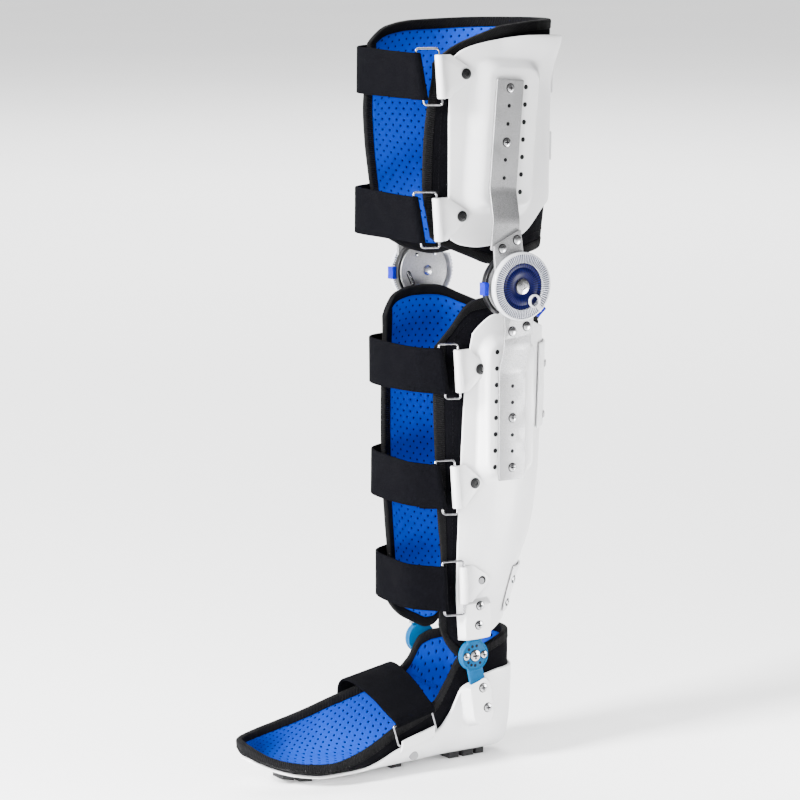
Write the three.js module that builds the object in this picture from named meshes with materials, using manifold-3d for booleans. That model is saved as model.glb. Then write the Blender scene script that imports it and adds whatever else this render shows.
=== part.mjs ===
// Knee ankle foot brace for a left leg, in millimetres.
// +Z is up, the toes point to -Y and +X is the outer (lateral) side. The heel tread stands on Z 0,
// and Y 0 is the ankle axis.

import * as THREE from "three";
import { mergeVertices } from "three/addons/utils/BufferGeometryUtils.js";
import Module from "manifold-3d";

const wasm = await Module();
wasm.setup();

// Axes of the two hinges.
const KNEE = { y: 27, z: 509.5 };
const ANKLE = { y: 0, z: 118.8 };

// Layers of the padded walls and shells, measured outwards from the leg.
const GAP = 0.3;
const LINING = 2.4;
const LINER = 3.2;
const SHELL = 3;
const LINER_IN = LINING + GAP;
const LINER_OUT = LINER_IN + LINER;
const SHELL_GAP = 0.9;
const SHELL_IN = LINER_OUT + SHELL_GAP;
const SHELL_OUT = SHELL_IN + SHELL;
const BINDING_WIDTH = 10;

// Straps, wire rings and their brackets.
const STRAP = { width: 48, thick: 2.6, steps: 3 };
const WIRE = { radius: 1.3, sides: 6, corner: 3, bend: 3 };
const WRAP = { clear: 0.9, turns: [150, 100, 50, 0, -50, -100] };
const RING_SPARE = 9;
const SLEEVE = { radius: 4.6, bore: 1.8, sides: 14 };
const BRACKET = { thick: 1.8, end: 8, shoulder: 12, sweep: 1.1, steps: 6, trim: 2, lowest: 177 };
const RIVET = { radius: 5, tall: 2 };

// Steel struts and hinge arms.
const STEEL = 3;
const STRUT_HALF_WIDTH = 16.5;
const THIGH_SEAT_X = 75.5;
const CALF_SEAT_X = 73.5;
const SCREW = { radius: 4, tall: 1.6, hole: 2.2, root: 1 };

// Knee hinge stack, outwards along X.
const CASE = { inner: 77.5, outer: 85.5, radius: 29.5, y: 22.5 };
const LOWER_ARM_X = CASE.outer + GAP;
const UPPER_ARM_X = LOWER_ARM_X + STEEL + GAP;
const DIAL_X = UPPER_ARM_X + STEEL + GAP;
const ARM_DISC_RADIUS = 30;
const PIN_RADIUS = 8;
const DIAL = {
  radius: 35, thick: 7, disc: 23.8, floor: 2.6, recess: 24.2, bevel: 2, foot: 1.5, lip: 0.6, sunk: 1.4,
};
const DIAL_BORE = PIN_RADIUS + 0.4;
const POINTER = { angle: -0.84, from: 15, to: 31, half: 3.5, root: 0.8, proud: 2 };
const KEY = { from: DIAL.radius + GAP, to: DIAL.radius + 3, half: 6, low: 1, high: 5 };
const SKIRT = { inner: 31.4, outer: 34.6, x: 80.5, root: 2, from: -0.7, to: 0.52, steps: 8 };
const BUMPER = { inner: CASE.radius + GAP, outer: CASE.radius + 3.6, half: 1.05, steps: 12, inset: 0.5 };
const SLIDER = { wide: 4, low: 502, high: 515, inset: 1.5, lip: 0.5 };

// Ankle hinge stack, outwards along X.
const ANKLE_LOWER_X = 46.8;
const ANKLE_PLATE = 3.5;
const ANKLE_UPPER_X = ANKLE_LOWER_X + ANKLE_PLATE + GAP;
const ANKLE_DISC_RADIUS = 16.5;
const ANKLE_NECK = 16;
const ANKLE_UPPER_TOP = 166;
const ANKLE_LOWER_LENGTH = 52;
const ANKLE_SCREW = { radius: 4.5, proud: 2, tip: 0.1 };
const SIDE_SCREW = { radius: 3.2, proud: 1.2, apart: 10, root: 1 };
const FOOT_LEAN = 0.22;

// Leg cross-sections: half width, back depth from the centre, centre, and how far the front arms pull in
// over a length of 100.
const FLAT_LENGTH = 100;
const THIGH_SECTIONS = [
  { z: 520, half: 57, back: 74, centre: 24, inset: 6 },
  { z: 560, half: 58, back: 78.5, centre: 24, inset: 6 },
  { z: 600, half: 58, back: 83.5, centre: 24, inset: 6 },
  { z: 680, half: 58, back: 84.6, centre: 24, inset: 6 },
  { z: 740, half: 58.5, back: 87, centre: 24, inset: 6 },
  { z: 790, half: 59.5, back: 91, centre: 24, inset: 6 },
];
const CALF_SECTIONS = [
  { z: 110, half: 40.6, back: 46, centre: 1, inset: 16 },
  { z: 150, half: 40.6, back: 50.4, centre: 3, inset: 18 },
  { z: 203, half: 43.7, back: 61, centre: 10, inset: 20 },
  { z: 240, half: 46.5, back: 72.7, centre: 14, inset: 22 },
  { z: 270, half: 48.7, back: 77, centre: 16, inset: 24 },
  { z: 310, half: 51.5, back: 78.7, centre: 18.5, inset: 24 },
  { z: 400, half: 54.7, back: 77.5, centre: 22, inset: 24 },
  { z: 500, half: 56, back: 75, centre: 25, inset: 24 },
];

// Front edges of the padded walls: Y on the lateral and the medial side at each height.
const THIGH_FRONT = [
  { z: 530, lateral: -58, medial: -50 },
  { z: 600, lateral: -67, medial: -60 },
  { z: 640, lateral: -66.5, medial: -64 },
  { z: 690, lateral: -64.5, medial: -66 },
  { z: 760, lateral: -56, medial: -60 },
];
const CALF_FRONT = [
  { z: 130, lateral: -38, medial: -50 },
  { z: 200, lateral: -44, medial: -54 },
  { z: 260, lateral: -44.6, medial: -53.5 },
  { z: 400, lateral: -46, medial: -50 },
  { z: 470, lateral: -44, medial: -47 },
];

// Top and bottom edges against the girth: 0 at the back, 1 at the side, then 0.01 for each mm forward.
const THIGH_EDGES = [
  { girth: -1.95, bottom: 585, top: 734 },
  { girth: -1.8, bottom: 566, top: 757 },
  { girth: -1.6, bottom: 550, top: 770 },
  { girth: -1.3, bottom: 536, top: 775 },
  { girth: -1, bottom: 530, top: 776 },
  { girth: -0.6, bottom: 539, top: 777 },
  { girth: 0, bottom: 542, top: 777 },
  { girth: 0.6, bottom: 539, top: 777 },
  { girth: 1, bottom: 530, top: 773 },
  { girth: 1.14, bottom: 531, top: 769 },
  { girth: 1.36, bottom: 539, top: 762 },
  { girth: 1.56, bottom: 547, top: 754 },
  { girth: 1.69, bottom: 552, top: 746 },
  { girth: 1.81, bottom: 560, top: 736 },
  { girth: 1.93, bottom: 572, top: 720 },
];
const CALF_EDGES = [
  { girth: -1.78, bottom: 230, top: 452 },
  { girth: -1.66, bottom: 196, top: 480 },
  { girth: -1.56, bottom: 173, top: 491 },
  { girth: -1.44, bottom: 157, top: 495 },
  { girth: -1.3, bottom: 146, top: 497 },
  { girth: -1.15, bottom: 137, top: 497 },
  { girth: -1, bottom: 129, top: 496 },
  { girth: -0.9, bottom: 138, top: 493 },
  { girth: -0.75, bottom: 146, top: 485 },
  { girth: -0.5, bottom: 151, top: 475 },
  { girth: 0, bottom: 152, top: 472 },
  { girth: 0.5, bottom: 151, top: 475 },
  { girth: 0.75, bottom: 146, top: 485 },
  { girth: 0.9, bottom: 134, top: 493 },
  { girth: 1, bottom: 117, top: 496 },
  { girth: 1.1, bottom: 115, top: 496 },
  { girth: 1.2, bottom: 121, top: 495 },
  { girth: 1.3, bottom: 133, top: 493 },
  { girth: 1.38, bottom: 150, top: 488 },
  { girth: 1.44, bottom: 170, top: 481 },
  { girth: 1.52, bottom: 194, top: 469 },
  { girth: 1.75, bottom: 230, top: 440 },
];

// Half shells: Y of the front edge, and the top and bottom edges against the girth.
const THIGH_SHELL_FRONT = [
  { z: 540, y: -38 },
  { z: 600, y: -41 },
  { z: 690, y: -41 },
  { z: 760, y: -38 },
];
const CALF_SHELL_FRONT = [
  { z: 130, y: -16 },
  { z: 200, y: -20 },
  { z: 320, y: -19 },
  { z: 440, y: -15 },
  { z: 480, y: -8 },
];
const THIGH_SHELL_EDGES = [
  { girth: 0, bottom: 596, top: 760 },
  { girth: 0.5, bottom: 584, top: 762 },
  { girth: 0.8, bottom: 559, top: 763 },
  { girth: 1.05, bottom: 551, top: 760 },
  { girth: 1.3, bottom: 549, top: 756 },
  { girth: 1.5, bottom: 552, top: 750 },
  { girth: 1.66, bottom: 560, top: 738 },
];
const CALF_SHELL_EDGES = [
  { girth: 0, bottom: 154, top: 452 },
  { girth: 0.5, bottom: 147, top: 462 },
  { girth: 0.75, bottom: 140, top: 474 },
  { girth: 0.95, bottom: 137, top: 480 },
  { girth: 1.1, bottom: 136, top: 478 },
  { girth: 1.25, bottom: 137, top: 468 },
  { girth: 1.42, bottom: 142, top: 446 },
];
const SHELL_BACK_GIRTH = 0.03;
const TAB = { thick: 2.4, lap: -0.1, start: -0.22, root: 1, columns: 8 };
const THIGH_FLARE = { from: 690, to: 762, out: 12 };

// Rear tabs of the medial half shells, which lap over the lateral halves.
const THIGH_TABS = [
  { low: 630, high: 660, reach: 0.2 },
  { low: 700, high: 730, reach: 0.2 },
];
const CALF_TABS = [
  { low: 352, high: 442, reach: 0.52 },
  { low: 158, high: 206, reach: 0.56 },
];

// Steps along and across the padded walls, the shells and the foot.
const CUFF_STEPS = { u: 18, v: 7 };
const SHELL_STEPS = { u: 12, v: 9 };
const FOOT_COLUMNS = 12;

// Share of each cuff's width and height that its binding covers, and the gap beside the binding.
const THIGH_INSET = { u: 0.023, v: 0.042 };
const CALF_INSET = { u: 0.028, v: 0.028 };
const INSET_GAP = { u: 0.0012, v: 0.0018 };

// Raised pads of the shells and the bosses over the ankle arms, as outlines in Y and Z.
const THIGH_LEAN = 0.079;
const THIGH_PAD = { y: 31, z: 666, wide: 62, tall: 142, corner: 14, root: 54 };
const CALF_PAD = { y: 34.5, z: 382, wide: 55, tall: 134, corner: 14, root: 46 };
const CALF_BOSS = { from: -14, to: 17, low: 138, high: 175, root: 42, x: 58 };
const CALF_SLOT = { low: 120, high: 168 };
const FOOT_BOSS = { wide: 26, tall: 56, corner: 12, root: 36, x: 57, slot: 54 };
const PAD_CORE = { margin: 8, columns: 14, rows: 4, from: 0.1, to: 1.6, depth: 34 };
const FOOT_CORE_DEPTH = 30;

// Steel struts: heights of the bend, screws and holes, and the lean of the thigh's.
const THIGH_STRUT = {
  y: 16, lean: THIGH_LEAN, top: 720, bendStart: 607, bendEnd: 577, end: 546,
  screws: [711, 656], holes: [693, 674.5, 638, 619.5],
};
const CALF_STRUT = {
  y: 30.3, lean: 0, top: 306, bendStart: 420, bendEnd: 446, end: 472,
  screws: [371, 319], holes: [404, 387, 353, 336],
};

// Hinge arms: outline and rivets in Y and Z.
const UPPER_ARM = {
  outline: [[-1, 506], [-4, 552], [29, 567], [33, 540], [40, 520]],
  rivets: [[6, 549], [24, 557]],
};
const LOWER_ARM = {
  outline: [[8, 500], [14, 455], [46, 458], [50, 500]],
  rivets: [[21, 463], [39, 467]],
};

// Straps of the cuffs: lower edge, rise towards the medial end, slack in front, whether the end is sewn back
// behind the strap, and the places in plan of the bracket's sleeve and the ring's free wire. The rivet is in
// Y and Z.
const CUFF_STRAPS = [
  {
    cuff: "thigh", at: "upper", low: 700, rise: 0, slack: 0, tail: true,
    sleeve: [69.6, -55], wire: [61, -74], rivet: [-24, 726],
  },
  {
    cuff: "thigh", at: "lower", low: 556, rise: 0, slack: 0, tail: true,
    sleeve: [69.6, -58], wire: [61, -77], rivet: [-28, 582],
  },
  {
    cuff: "calf", at: "upper", low: 399, rise: 0, slack: 7, tail: true,
    sleeve: [66.5, -29.5], wire: [60.5, -46.5], rivet: [-3, 423],
  },
  {
    cuff: "calf", at: "middle", low: 278, rise: 8, slack: 4, tail: true,
    sleeve: [62.8, -30.5], wire: [57, -47.5], rivet: [-7, 304],
  },
  {
    cuff: "calf", at: "lower", low: 170, rise: 8, slack: 1, tail: false,
    sleeve: [58.2, -17], wire: [52.6, -39], rivet: [7, 199],
  },
];

// Strap route in plan: tail and lead beside the wire, crown in front of the leg, turn round the medial corner
// and seat on the padded wall and the shell.
const ROUTE = {
  clear: 0.6, wire: 3, cross: 7, crown: 4,
  tail: [0.9, 0.4], tailBehind: 3.3, lead: [22, 0.5], turn: [16, 2], corner: [3, 2], cornerOut: 1.5,
  side: 10, sideOut: 2.5, shell: 4, shellOut: 0.3, endY: -7,
  slackOut: 0.6, slackCorner: 0.8,
};

// Foot stations from heel to toe: outline of the padded wall, underside and the heights of the walls.
const FOOT_STATIONS = [
  { y: 69.5, lat: 0, med: 0, sole: 9, shellLat: 99, shellMed: 99, padLat: 136, padMed: 136 },
  { y: 67.8, lat: 12, med: 12, sole: 8, shellLat: 99, shellMed: 99, padLat: 136, padMed: 136 },
  { y: 62.8, lat: 23, med: 23, sole: 7, shellLat: 99, shellMed: 99, padLat: 135.5, padMed: 136 },
  { y: 54.2, lat: 32, med: 32, sole: 6, shellLat: 99, shellMed: 99, padLat: 134, padMed: 135 },
  { y: 41, lat: 38, med: 38, sole: 6, shellLat: 99, shellMed: 99, padLat: 131, padMed: 133.5 },
  { y: 22, lat: 40.2, med: 40.2, sole: 6, shellLat: 96, shellMed: 96, padLat: 125, padMed: 129.5 },
  { y: 6, lat: 40.2, med: 40.2, sole: 6, shellLat: 90, shellMed: 90, padLat: 121, padMed: 128.5 },
  { y: -8, lat: 40.2, med: 40.2, sole: 6, shellLat: 85, shellMed: 85, padLat: 117, padMed: 124 },
  { y: -24, lat: 40.2, med: 40.2, sole: 6, shellLat: 58, shellMed: 58, padLat: 93, padMed: 101.5 },
  { y: -39, lat: 41.5, med: 40.8, sole: 6, shellLat: 44, shellMed: 41, padLat: 73, padMed: 90 },
  { y: -62, lat: 44, med: 42, sole: 6, shellLat: 38, shellMed: 34, padLat: 63, padMed: 86 },
  { y: -92, lat: 47, med: 44, sole: 6, shellLat: 31, shellMed: 27, padLat: 53, padMed: 77 },
  { y: -118, lat: 49, med: 46, sole: 6, shellLat: 20, shellMed: 20, padLat: 40.5, padMed: 70 },
  { y: -140, lat: 50, med: 48, sole: 6, shellLat: 13, shellMed: 14, padLat: 32, padMed: 63 },
  { y: -172, lat: 48, med: 49, sole: 6, shellLat: 12, shellMed: 12, padLat: 25, padMed: 55 },
  { y: -200, lat: 41, med: 47, sole: 10, shellLat: 15, shellMed: 15, padLat: 27, padMed: 50 },
  { y: -222, lat: 28, med: 42, sole: 17, shellLat: 21, shellMed: 21, padLat: 31, padMed: 47 },
  { y: -236, lat: 12, med: 34, sole: 24, shellLat: 28, shellMed: 28, padLat: 37, padMed: 46 },
  { y: -242, lat: -2, med: 26, sole: 28, shellLat: 32, shellMed: 32, padLat: 42, padMed: 46 },
  { y: -244, lat: -13, med: 13, sole: 30, shellLat: 34, shellMed: 34, padLat: 45, padMed: 45 },
];
const FOOT_CORNER = 0.625;
const FOOT_FLOOR_RISE = SHELL + SHELL_GAP;
const FOOT_SPINE_END = 6;
const FOOT_DEEPEST = 0.97;
const FOOT_BINDING_GAP = 1.4;

// Tread: a thin sole of rubber and the lugs under it, from heel to toe along Y.
const TREAD = { from: -214, to: 46, medial: -30, lateral: 28, pad: 1.6, lug: 4.1, step: 10 };
const LUGS = [
  { from: -214, to: -203 },
  { from: -196, to: -184 },
  { from: -176, to: -160 },
  { from: -148, to: -130 },
  { from: -97, to: -77 },
  { from: -26, to: -14 },
  { from: -6, to: 6 },
  { from: 14, to: 26 },
  { from: 34, to: 46 },
];

// Foot strap over the instep, in X and Z, and its ring. Both slope down towards the toes.
const FOOT_STRAP = { y: -74, width: 50, medialWidth: 64, slope: 0.2, turns: [0, 50, 100] };
const FOOT_STRAP_TAPER = { lateral: 0.0017, medial: 0.0006 };
const FOOT_RING = { x: 51.4, y: -72, z: 50.2, span: 23, length: 55, lean: 0.04, yaw: -0.09 };
const FOOT_STRAP_ROUTE = [
  [36, 72.5], [16, 82], [-8, 90], [-30, 94], [-43, 92], [-49.5, 85], [-50, 70], [-47.2, 51], [-43.5, 30],
];

// Colours and surface qualities.
const FINISHES = {
  whitePlastic: { color: 0xe9e9e8, roughness: 0.35, metalness: 0 },
  blackFabric: { color: 0x1b1c22, roughness: 0.95, metalness: 0 },
  blueFabric: { color: 0x1c62e0, roughness: 0.9, metalness: 0 },
  steel: { color: 0xa8a8a6, roughness: 0.45, metalness: 0.9 },
  chrome: { color: 0xd8d8da, roughness: 0.15, metalness: 1 },
  clearPlastic: { color: 0xd9dcea, roughness: 0.12, metalness: 0 },
  navyPlastic: { color: 0x1a1f66, roughness: 0.35, metalness: 0 },
  bluePlastic: { color: 0x2a48ff, roughness: 0.35, metalness: 0 },
  blackPlastic: { color: 0x151517, roughness: 0.5, metalness: 0 },
  cyanMetal: { color: 0x1c9fd2, roughness: 0.35, metalness: 0.7 },
  rubber: { color: 0x3f4145, roughness: 0.9, metalness: 0 },
};

const brace = new THREE.Group();

// Adds one named piece to the brace.
function addPiece(name, geometry, finish) {
  const mesh = new THREE.Mesh(geometry, new THREE.MeshStandardMaterial(FINISHES[finish]));
  mesh.name = name;
  brace.add(mesh);
}

// Value of one column of a table at a place along its first column, on a smooth monotone curve.
function lookup(rows, key, at, column) {
  const up = rows[rows.length - 1][key] > rows[0][key];
  const sorted = up ? rows : [...rows].reverse();
  const last = sorted.length - 1;
  if (at <= sorted[0][key]) return sorted[0][column];
  if (at >= sorted[last][key]) return sorted[last][column];
  const i = sorted.findIndex((row) => row[key] > at) - 1;
  const slope = (k) => {
    const step = sorted[k + 1][key] - sorted[k][key];
    return (sorted[k + 1][column] - sorted[k][column]) / step;
  };
  const tangent = (k) => {
    if (k === 0 || k === last) return slope(Math.min(k, last - 1));
    const before = slope(k - 1);
    const after = slope(k);
    return before * after <= 0 ? 0 : (2 * before * after) / (before + after);
  };
  const span = sorted[i + 1][key] - sorted[i][key];
  const t = (at - sorted[i][key]) / span;
  const curve =
    sorted[i][column] * (1 + 2 * t) * (1 - t) ** 2 +
    sorted[i + 1][column] * t * t * (3 - 2 * t) +
    tangent(i) * span * t * (1 - t) ** 2 -
    tangent(i + 1) * span * t * t * (1 - t);
  return curve;
}

const lerp = THREE.MathUtils.lerp;
const smooth = THREE.MathUtils.smoothstep;
const UP = new THREE.Vector3(0, 0, 1);

// Geometry from points and triangles, welded, with its faces turned outwards.
function closedGeometry(points, triangles) {
  const made = new THREE.BufferGeometry();
  made.setAttribute("position", new THREE.Float32BufferAttribute(points.flat(), 3));
  made.setIndex(triangles.flat());
  const welded = mergeVertices(made, 1e-3);
  const index = Array.from(welded.index.array);
  const kept = [];
  for (let i = 0; i < index.length; i += 3) {
    const [a, b, c] = index.slice(i, i + 3);
    if (a !== b && b !== c && c !== a) kept.push([a, b, c]);
  }
  const at = welded.attributes.position;
  const corner = (i) => new THREE.Vector3().fromBufferAttribute(at, i);
  let volume = 0;
  for (const [a, b, c] of kept) volume += corner(a).dot(corner(b).cross(corner(c)));
  welded.setIndex((volume > 0 ? kept : kept.map(([a, b, c]) => [a, c, b])).flat());
  return welded;
}

// Thick sheet between two grids of points. A row or column count that wraps makes a closed ring.
function slab(rows, columns, point, { ring = false, capRows = true } = {}) {
  const points = [];
  const layerSize = rows * columns;
  for (const layer of [0, 1]) {
    for (let i = 0; i < rows; i++) {
      for (let j = 0; j < columns; j++) points.push(point(i, j, layer));
    }
  }
  const at = (i, j, layer) => layer * layerSize + (i % rows) * columns + j;
  const triangles = [];
  const quad = (a, b, c, d) => triangles.push([a, b, c], [a, c, d]);
  const rowSteps = ring ? rows : rows - 1;
  for (let i = 0; i < rowSteps; i++) {
    for (let j = 0; j < columns - 1; j++) {
      quad(at(i, j, 0), at(i + 1, j, 0), at(i + 1, j + 1, 0), at(i, j + 1, 0));
      quad(at(i, j, 1), at(i, j + 1, 1), at(i + 1, j + 1, 1), at(i + 1, j, 1));
    }
    quad(at(i, 0, 0), at(i, 0, 1), at(i + 1, 0, 1), at(i + 1, 0, 0));
    const end = columns - 1;
    quad(at(i, end, 0), at(i + 1, end, 0), at(i + 1, end, 1), at(i, end, 1));
  }
  if (!ring && capRows) {
    for (let j = 0; j < columns - 1; j++) {
      quad(at(0, j, 0), at(0, j + 1, 0), at(0, j + 1, 1), at(0, j, 1));
      const far = rows - 1;
      quad(at(far, j, 0), at(far, j, 1), at(far, j + 1, 1), at(far, j + 1, 0));
    }
  }
  return closedGeometry(points, triangles);
}

// A closed geometry as a solid that can be joined and cut.
function solid(geometry) {
  const bare = geometry.index ? geometry.toNonIndexed() : geometry.clone();
  bare.deleteAttribute("normal");
  bare.deleteAttribute("uv");
  const welded = mergeVertices(bare, 1e-3);
  return new wasm.Manifold(
    new wasm.Mesh({
      numProp: 3,
      vertProperties: new Float32Array(welded.attributes.position.array),
      triVerts: new Uint32Array(welded.index.array),
    }),
  );
}

// The geometry of a joined or cut solid.
function geometryOf(made) {
  const mesh = made.getMesh();
  const geometry = new THREE.BufferGeometry();
  geometry.setAttribute("position", new THREE.Float32BufferAttribute(mesh.vertProperties, 3));
  geometry.setIndex(Array.from(mesh.triVerts));
  return geometry;
}

function join(first, ...others) {
  return geometryOf(others.reduce((sum, piece) => sum.add(solid(piece)), solid(first)));
}

function cut(body, ...tools) {
  return geometryOf(tools.reduce((rest, tool) => rest.subtract(solid(tool)), solid(body)));
}

// The same piece on the other side of the leg.
function mirrored(geometry) {
  const copy = geometry.index ? geometry.toNonIndexed() : geometry.clone();
  const at = copy.attributes.position;
  const points = [];
  for (let i = 0; i < at.count; i++) points.push([-at.getX(i), at.getY(i), at.getZ(i)]);
  const triangles = [];
  for (let i = 0; i < at.count; i += 3) triangles.push([i, i + 2, i + 1]);
  return closedGeometry(points, triangles);
}

// Plate with an outline in Y and Z, from x0 to x1.
function plate(outline, x0, x1) {
  const shape = new THREE.Shape(outline.map(([y, z]) => new THREE.Vector2(y, z)));
  const made = new THREE.ExtrudeGeometry(shape, { depth: x1 - x0, bevelEnabled: false });
  const turn = new THREE.Matrix4().makeBasis(
    new THREE.Vector3(0, 1, 0),
    new THREE.Vector3(0, 0, 1),
    new THREE.Vector3(1, 0, 0),
  );
  return made.applyMatrix4(turn).translate(x0, 0, 0);
}

// Round disc or pin along X.
function disc(radius, x0, x1, y, z, sides = 20) {
  const made = new THREE.CylinderGeometry(radius, radius, x1 - x0, sides);
  return made.rotateZ(-Math.PI / 2).translate((x0 + x1) / 2, y, z);
}

// Turned piece about an axis along X, from a closed profile of radius and x.
function turned(profile, y, z, sides) {
  const points = [...profile, profile[0]].map(([radius, x]) => new THREE.Vector2(radius, x));
  const made = new THREE.LatheGeometry(points, sides).rotateZ(-Math.PI / 2).translate(0, y, z);
  const welded = mergeVertices(made.deleteAttribute("normal").deleteAttribute("uv"), 1e-3);
  const at = welded.attributes.position;
  const corners = Array.from({ length: at.count }, (_, i) => [at.getX(i), at.getY(i), at.getZ(i)]);
  const index = Array.from(welded.index.array);
  const triangles = [];
  for (let i = 0; i < index.length; i += 3) triangles.push(index.slice(i, i + 3));
  return closedGeometry(corners, triangles);
}

// Rectangle with round corners in Y and Z, turned by a lean angle about its centre.
function roundedOutline(y, z, wide, tall, radius, lean = 0, steps = 4) {
  const points = [];
  for (const [sy, sz, start] of [[1, 1, 0], [-1, 1, 1], [-1, -1, 2], [1, -1, 3]]) {
    for (let k = 0; k <= steps; k++) {
      const angle = ((start + k / steps) * Math.PI) / 2;
      const py = sy * (wide / 2 - radius) + radius * Math.cos(angle);
      const pz = sz * (tall / 2 - radius) + radius * Math.sin(angle);
      points.push([
        y + py * Math.cos(lean) - pz * Math.sin(lean),
        z + py * Math.sin(lean) + pz * Math.cos(lean),
      ]);
    }
  }
  return points;
}

// Point of a leg surface at a girth and height, moved outwards along its section's normal.
function legPoint(sections, girth, z, offset) {
  const column = (name) => lookup(sections, "z", z, name);
  const half = column("half");
  const back = column("back");
  const centre = column("centre");
  const side = Math.sign(girth) || 1;
  const reach = Math.abs(girth);
  if (reach <= 1) {
    const angle = (reach * Math.PI) / 2;
    const normal = new THREE.Vector2(back * Math.sin(angle), half * Math.cos(angle)).normalize();
    const x = half * Math.sin(angle) + offset * normal.x;
    return [side * x, centre + back * Math.cos(angle) + offset * normal.y, z];
  }
  const arm = reach - 1;
  const slope = (2 * column("inset") * arm) / FLAT_LENGTH;
  const normal = new THREE.Vector2(1, -slope).normalize();
  const x = half - column("inset") * arm * arm + offset * normal.x;
  return [side * x, centre - arm * FLAT_LENGTH + offset * normal.y, z];
}

// Girth at which a leg surface reaches a Y in front of its centre.
function girthAt(sections, y, z) {
  return 1 + (lookup(sections, "z", z, "centre") - y) / FLAT_LENGTH;
}

// Padded cuff wall: u runs from the medial to the lateral front edge, v from bottom to top.
function cuffWall(sections, front, edges) {
  const low = Math.min(...edges.map((row) => row.bottom));
  const high = Math.max(...edges.map((row) => row.top));
  return (u, v, offset) => {
    const level = lerp(low, high, v);
    const medial = -girthAt(sections, lookup(front, "z", level, "medial"), level);
    const lateral = girthAt(sections, lookup(front, "z", level, "lateral"), level);
    const girth = lerp(medial, lateral, u);
    const bottom = lookup(edges, "girth", girth, "bottom");
    const top = lookup(edges, "girth", girth, "top");
    return legPoint(sections, girth, lerp(bottom, top, v), offset);
  };
}

// Panel of a wall inside its binding, between two offsets.
function panel(wall, inset, uSteps, vSteps, inner, outer) {
  return slab(uSteps + 1, vSteps + 1, (i, j, layer) => {
    const u = lerp(inset.u, 1 - inset.u, i / uSteps);
    const v = lerp(inset.v, 1 - inset.v, j / vSteps);
    return wall(u, v, layer ? inner : outer);
  });
}

// Binding tape round the four edges of a wall.
function border(wall, inset, uSteps, vSteps, inner, outer) {
  const loop = [];
  for (let i = 0; i < uSteps; i++) loop.push([i / uSteps, 0]);
  for (let j = 0; j < vSteps; j++) loop.push([1, j / vSteps]);
  for (let i = uSteps; i > 0; i--) loop.push([i / uSteps, 1]);
  for (let j = vSteps; j > 0; j--) loop.push([0, j / vSteps]);
  return slab(
    loop.length,
    2,
    (i, j, layer) => {
      const [u, v] = loop[i];
      const across = j ? [lerp(inset.u, 1 - inset.u, u), lerp(inset.v, 1 - inset.v, v)] : [u, v];
      return wall(...across, layer ? inner : outer);
    },
    { ring: true },
  );
}

// Lateral half shell: u runs from the back edge to the front edge, v from bottom to top.
function shellWall(sections, front, edges, flare) {
  const low = Math.min(...edges.map((row) => row.bottom));
  const high = Math.max(...edges.map((row) => row.top));
  return (u, v, offset) => {
    const level = lerp(low, high, v);
    const girth = lerp(SHELL_BACK_GIRTH, girthAt(sections, lookup(front, "z", level, "y"), level), u);
    const bottom = lookup(edges, "girth", girth, "bottom");
    const z = lerp(bottom, lookup(edges, "girth", girth, "top"), v);
    const rear = smooth(girth, 0.22, 0.45) * (1 - smooth(girth, 0.55, 1.05));
    const out = flare ? flare.out * smooth(z, flare.from, flare.to) ** 2 * rear : 0;
    return legPoint(sections, girth, z, offset + out);
  };
}

// Raised pad on a shell with a flat outer face, which stops at the shell's inner side.
function raisedPad(sections, outline, root, seat) {
  const heights = outline.map(([, z]) => z);
  const low = Math.min(...heights) - PAD_CORE.margin;
  const high = Math.max(...heights) + PAD_CORE.margin;
  const core = slab(PAD_CORE.columns + 1, PAD_CORE.rows + 1, (i, j, layer) => {
    const girth = lerp(PAD_CORE.from, PAD_CORE.to, i / PAD_CORE.columns);
    const z = lerp(low, high, j / PAD_CORE.rows);
    return legPoint(sections, girth, z, layer ? SHELL_IN - PAD_CORE.depth : SHELL_IN + GAP);
  });
  return cut(plate(outline, root, seat), core);
}

// Rear tabs: strips that start in one half shell and lap over the other.
function rearTabs(sections, rows) {
  const outer = SHELL_OUT + SHELL_GAP;
  return rows.map((row) =>
    slab(TAB.columns + 1, 3, (i, j, layer) => {
      const girth = lerp(TAB.start, row.reach, i / TAB.columns);
      const inner = girth < TAB.lap ? SHELL_IN + TAB.root : outer;
      return legPoint(sections, girth, lerp(row.low, row.high, j / 2), layer ? inner : outer + TAB.thick);
    }),
  );
}

// Bent steel strut: a strip from its seat on the shell to the hinge arm, with screws and holes.
function strut(seat, hingeX, rows) {
  const x0 = seat + GAP;
  const face = x0 + STEEL;
  const pivotZ = rows.bendStart;
  const profile = [
    [x0, rows.top],
    [x0, rows.bendStart],
    [hingeX, rows.bendEnd],
    [hingeX, rows.end],
    [hingeX + STEEL, rows.end],
    [hingeX + STEEL, rows.bendEnd],
    [face, rows.bendStart],
    [face, rows.top],
  ];
  const shape = new THREE.Shape(profile.map(([x, z]) => new THREE.Vector2(x, z - pivotZ)));
  const strip = new THREE.ExtrudeGeometry(shape, { depth: 2 * STRUT_HALF_WIDTH, bevelEnabled: false });
  strip.rotateX(Math.PI / 2).translate(0, STRUT_HALF_WIDTH, 0);
  const heads = rows.screws.map((z) => screwHead(face, 0, z - pivotZ));
  const holes = rows.holes.map((z) => disc(SCREW.hole, x0 - SCREW.root, face + SCREW.root, 0, z - pivotZ, 8));
  return cut(join(strip, ...heads), ...holes).rotateX(-rows.lean).translate(0, rows.y, pivotZ);
}

// Head of a screw or rivet that stands on a steel face.
function screwHead(face, y, z) {
  return disc(SCREW.radius, face - SCREW.root, face + SCREW.tall, y, z, 12);
}

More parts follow.
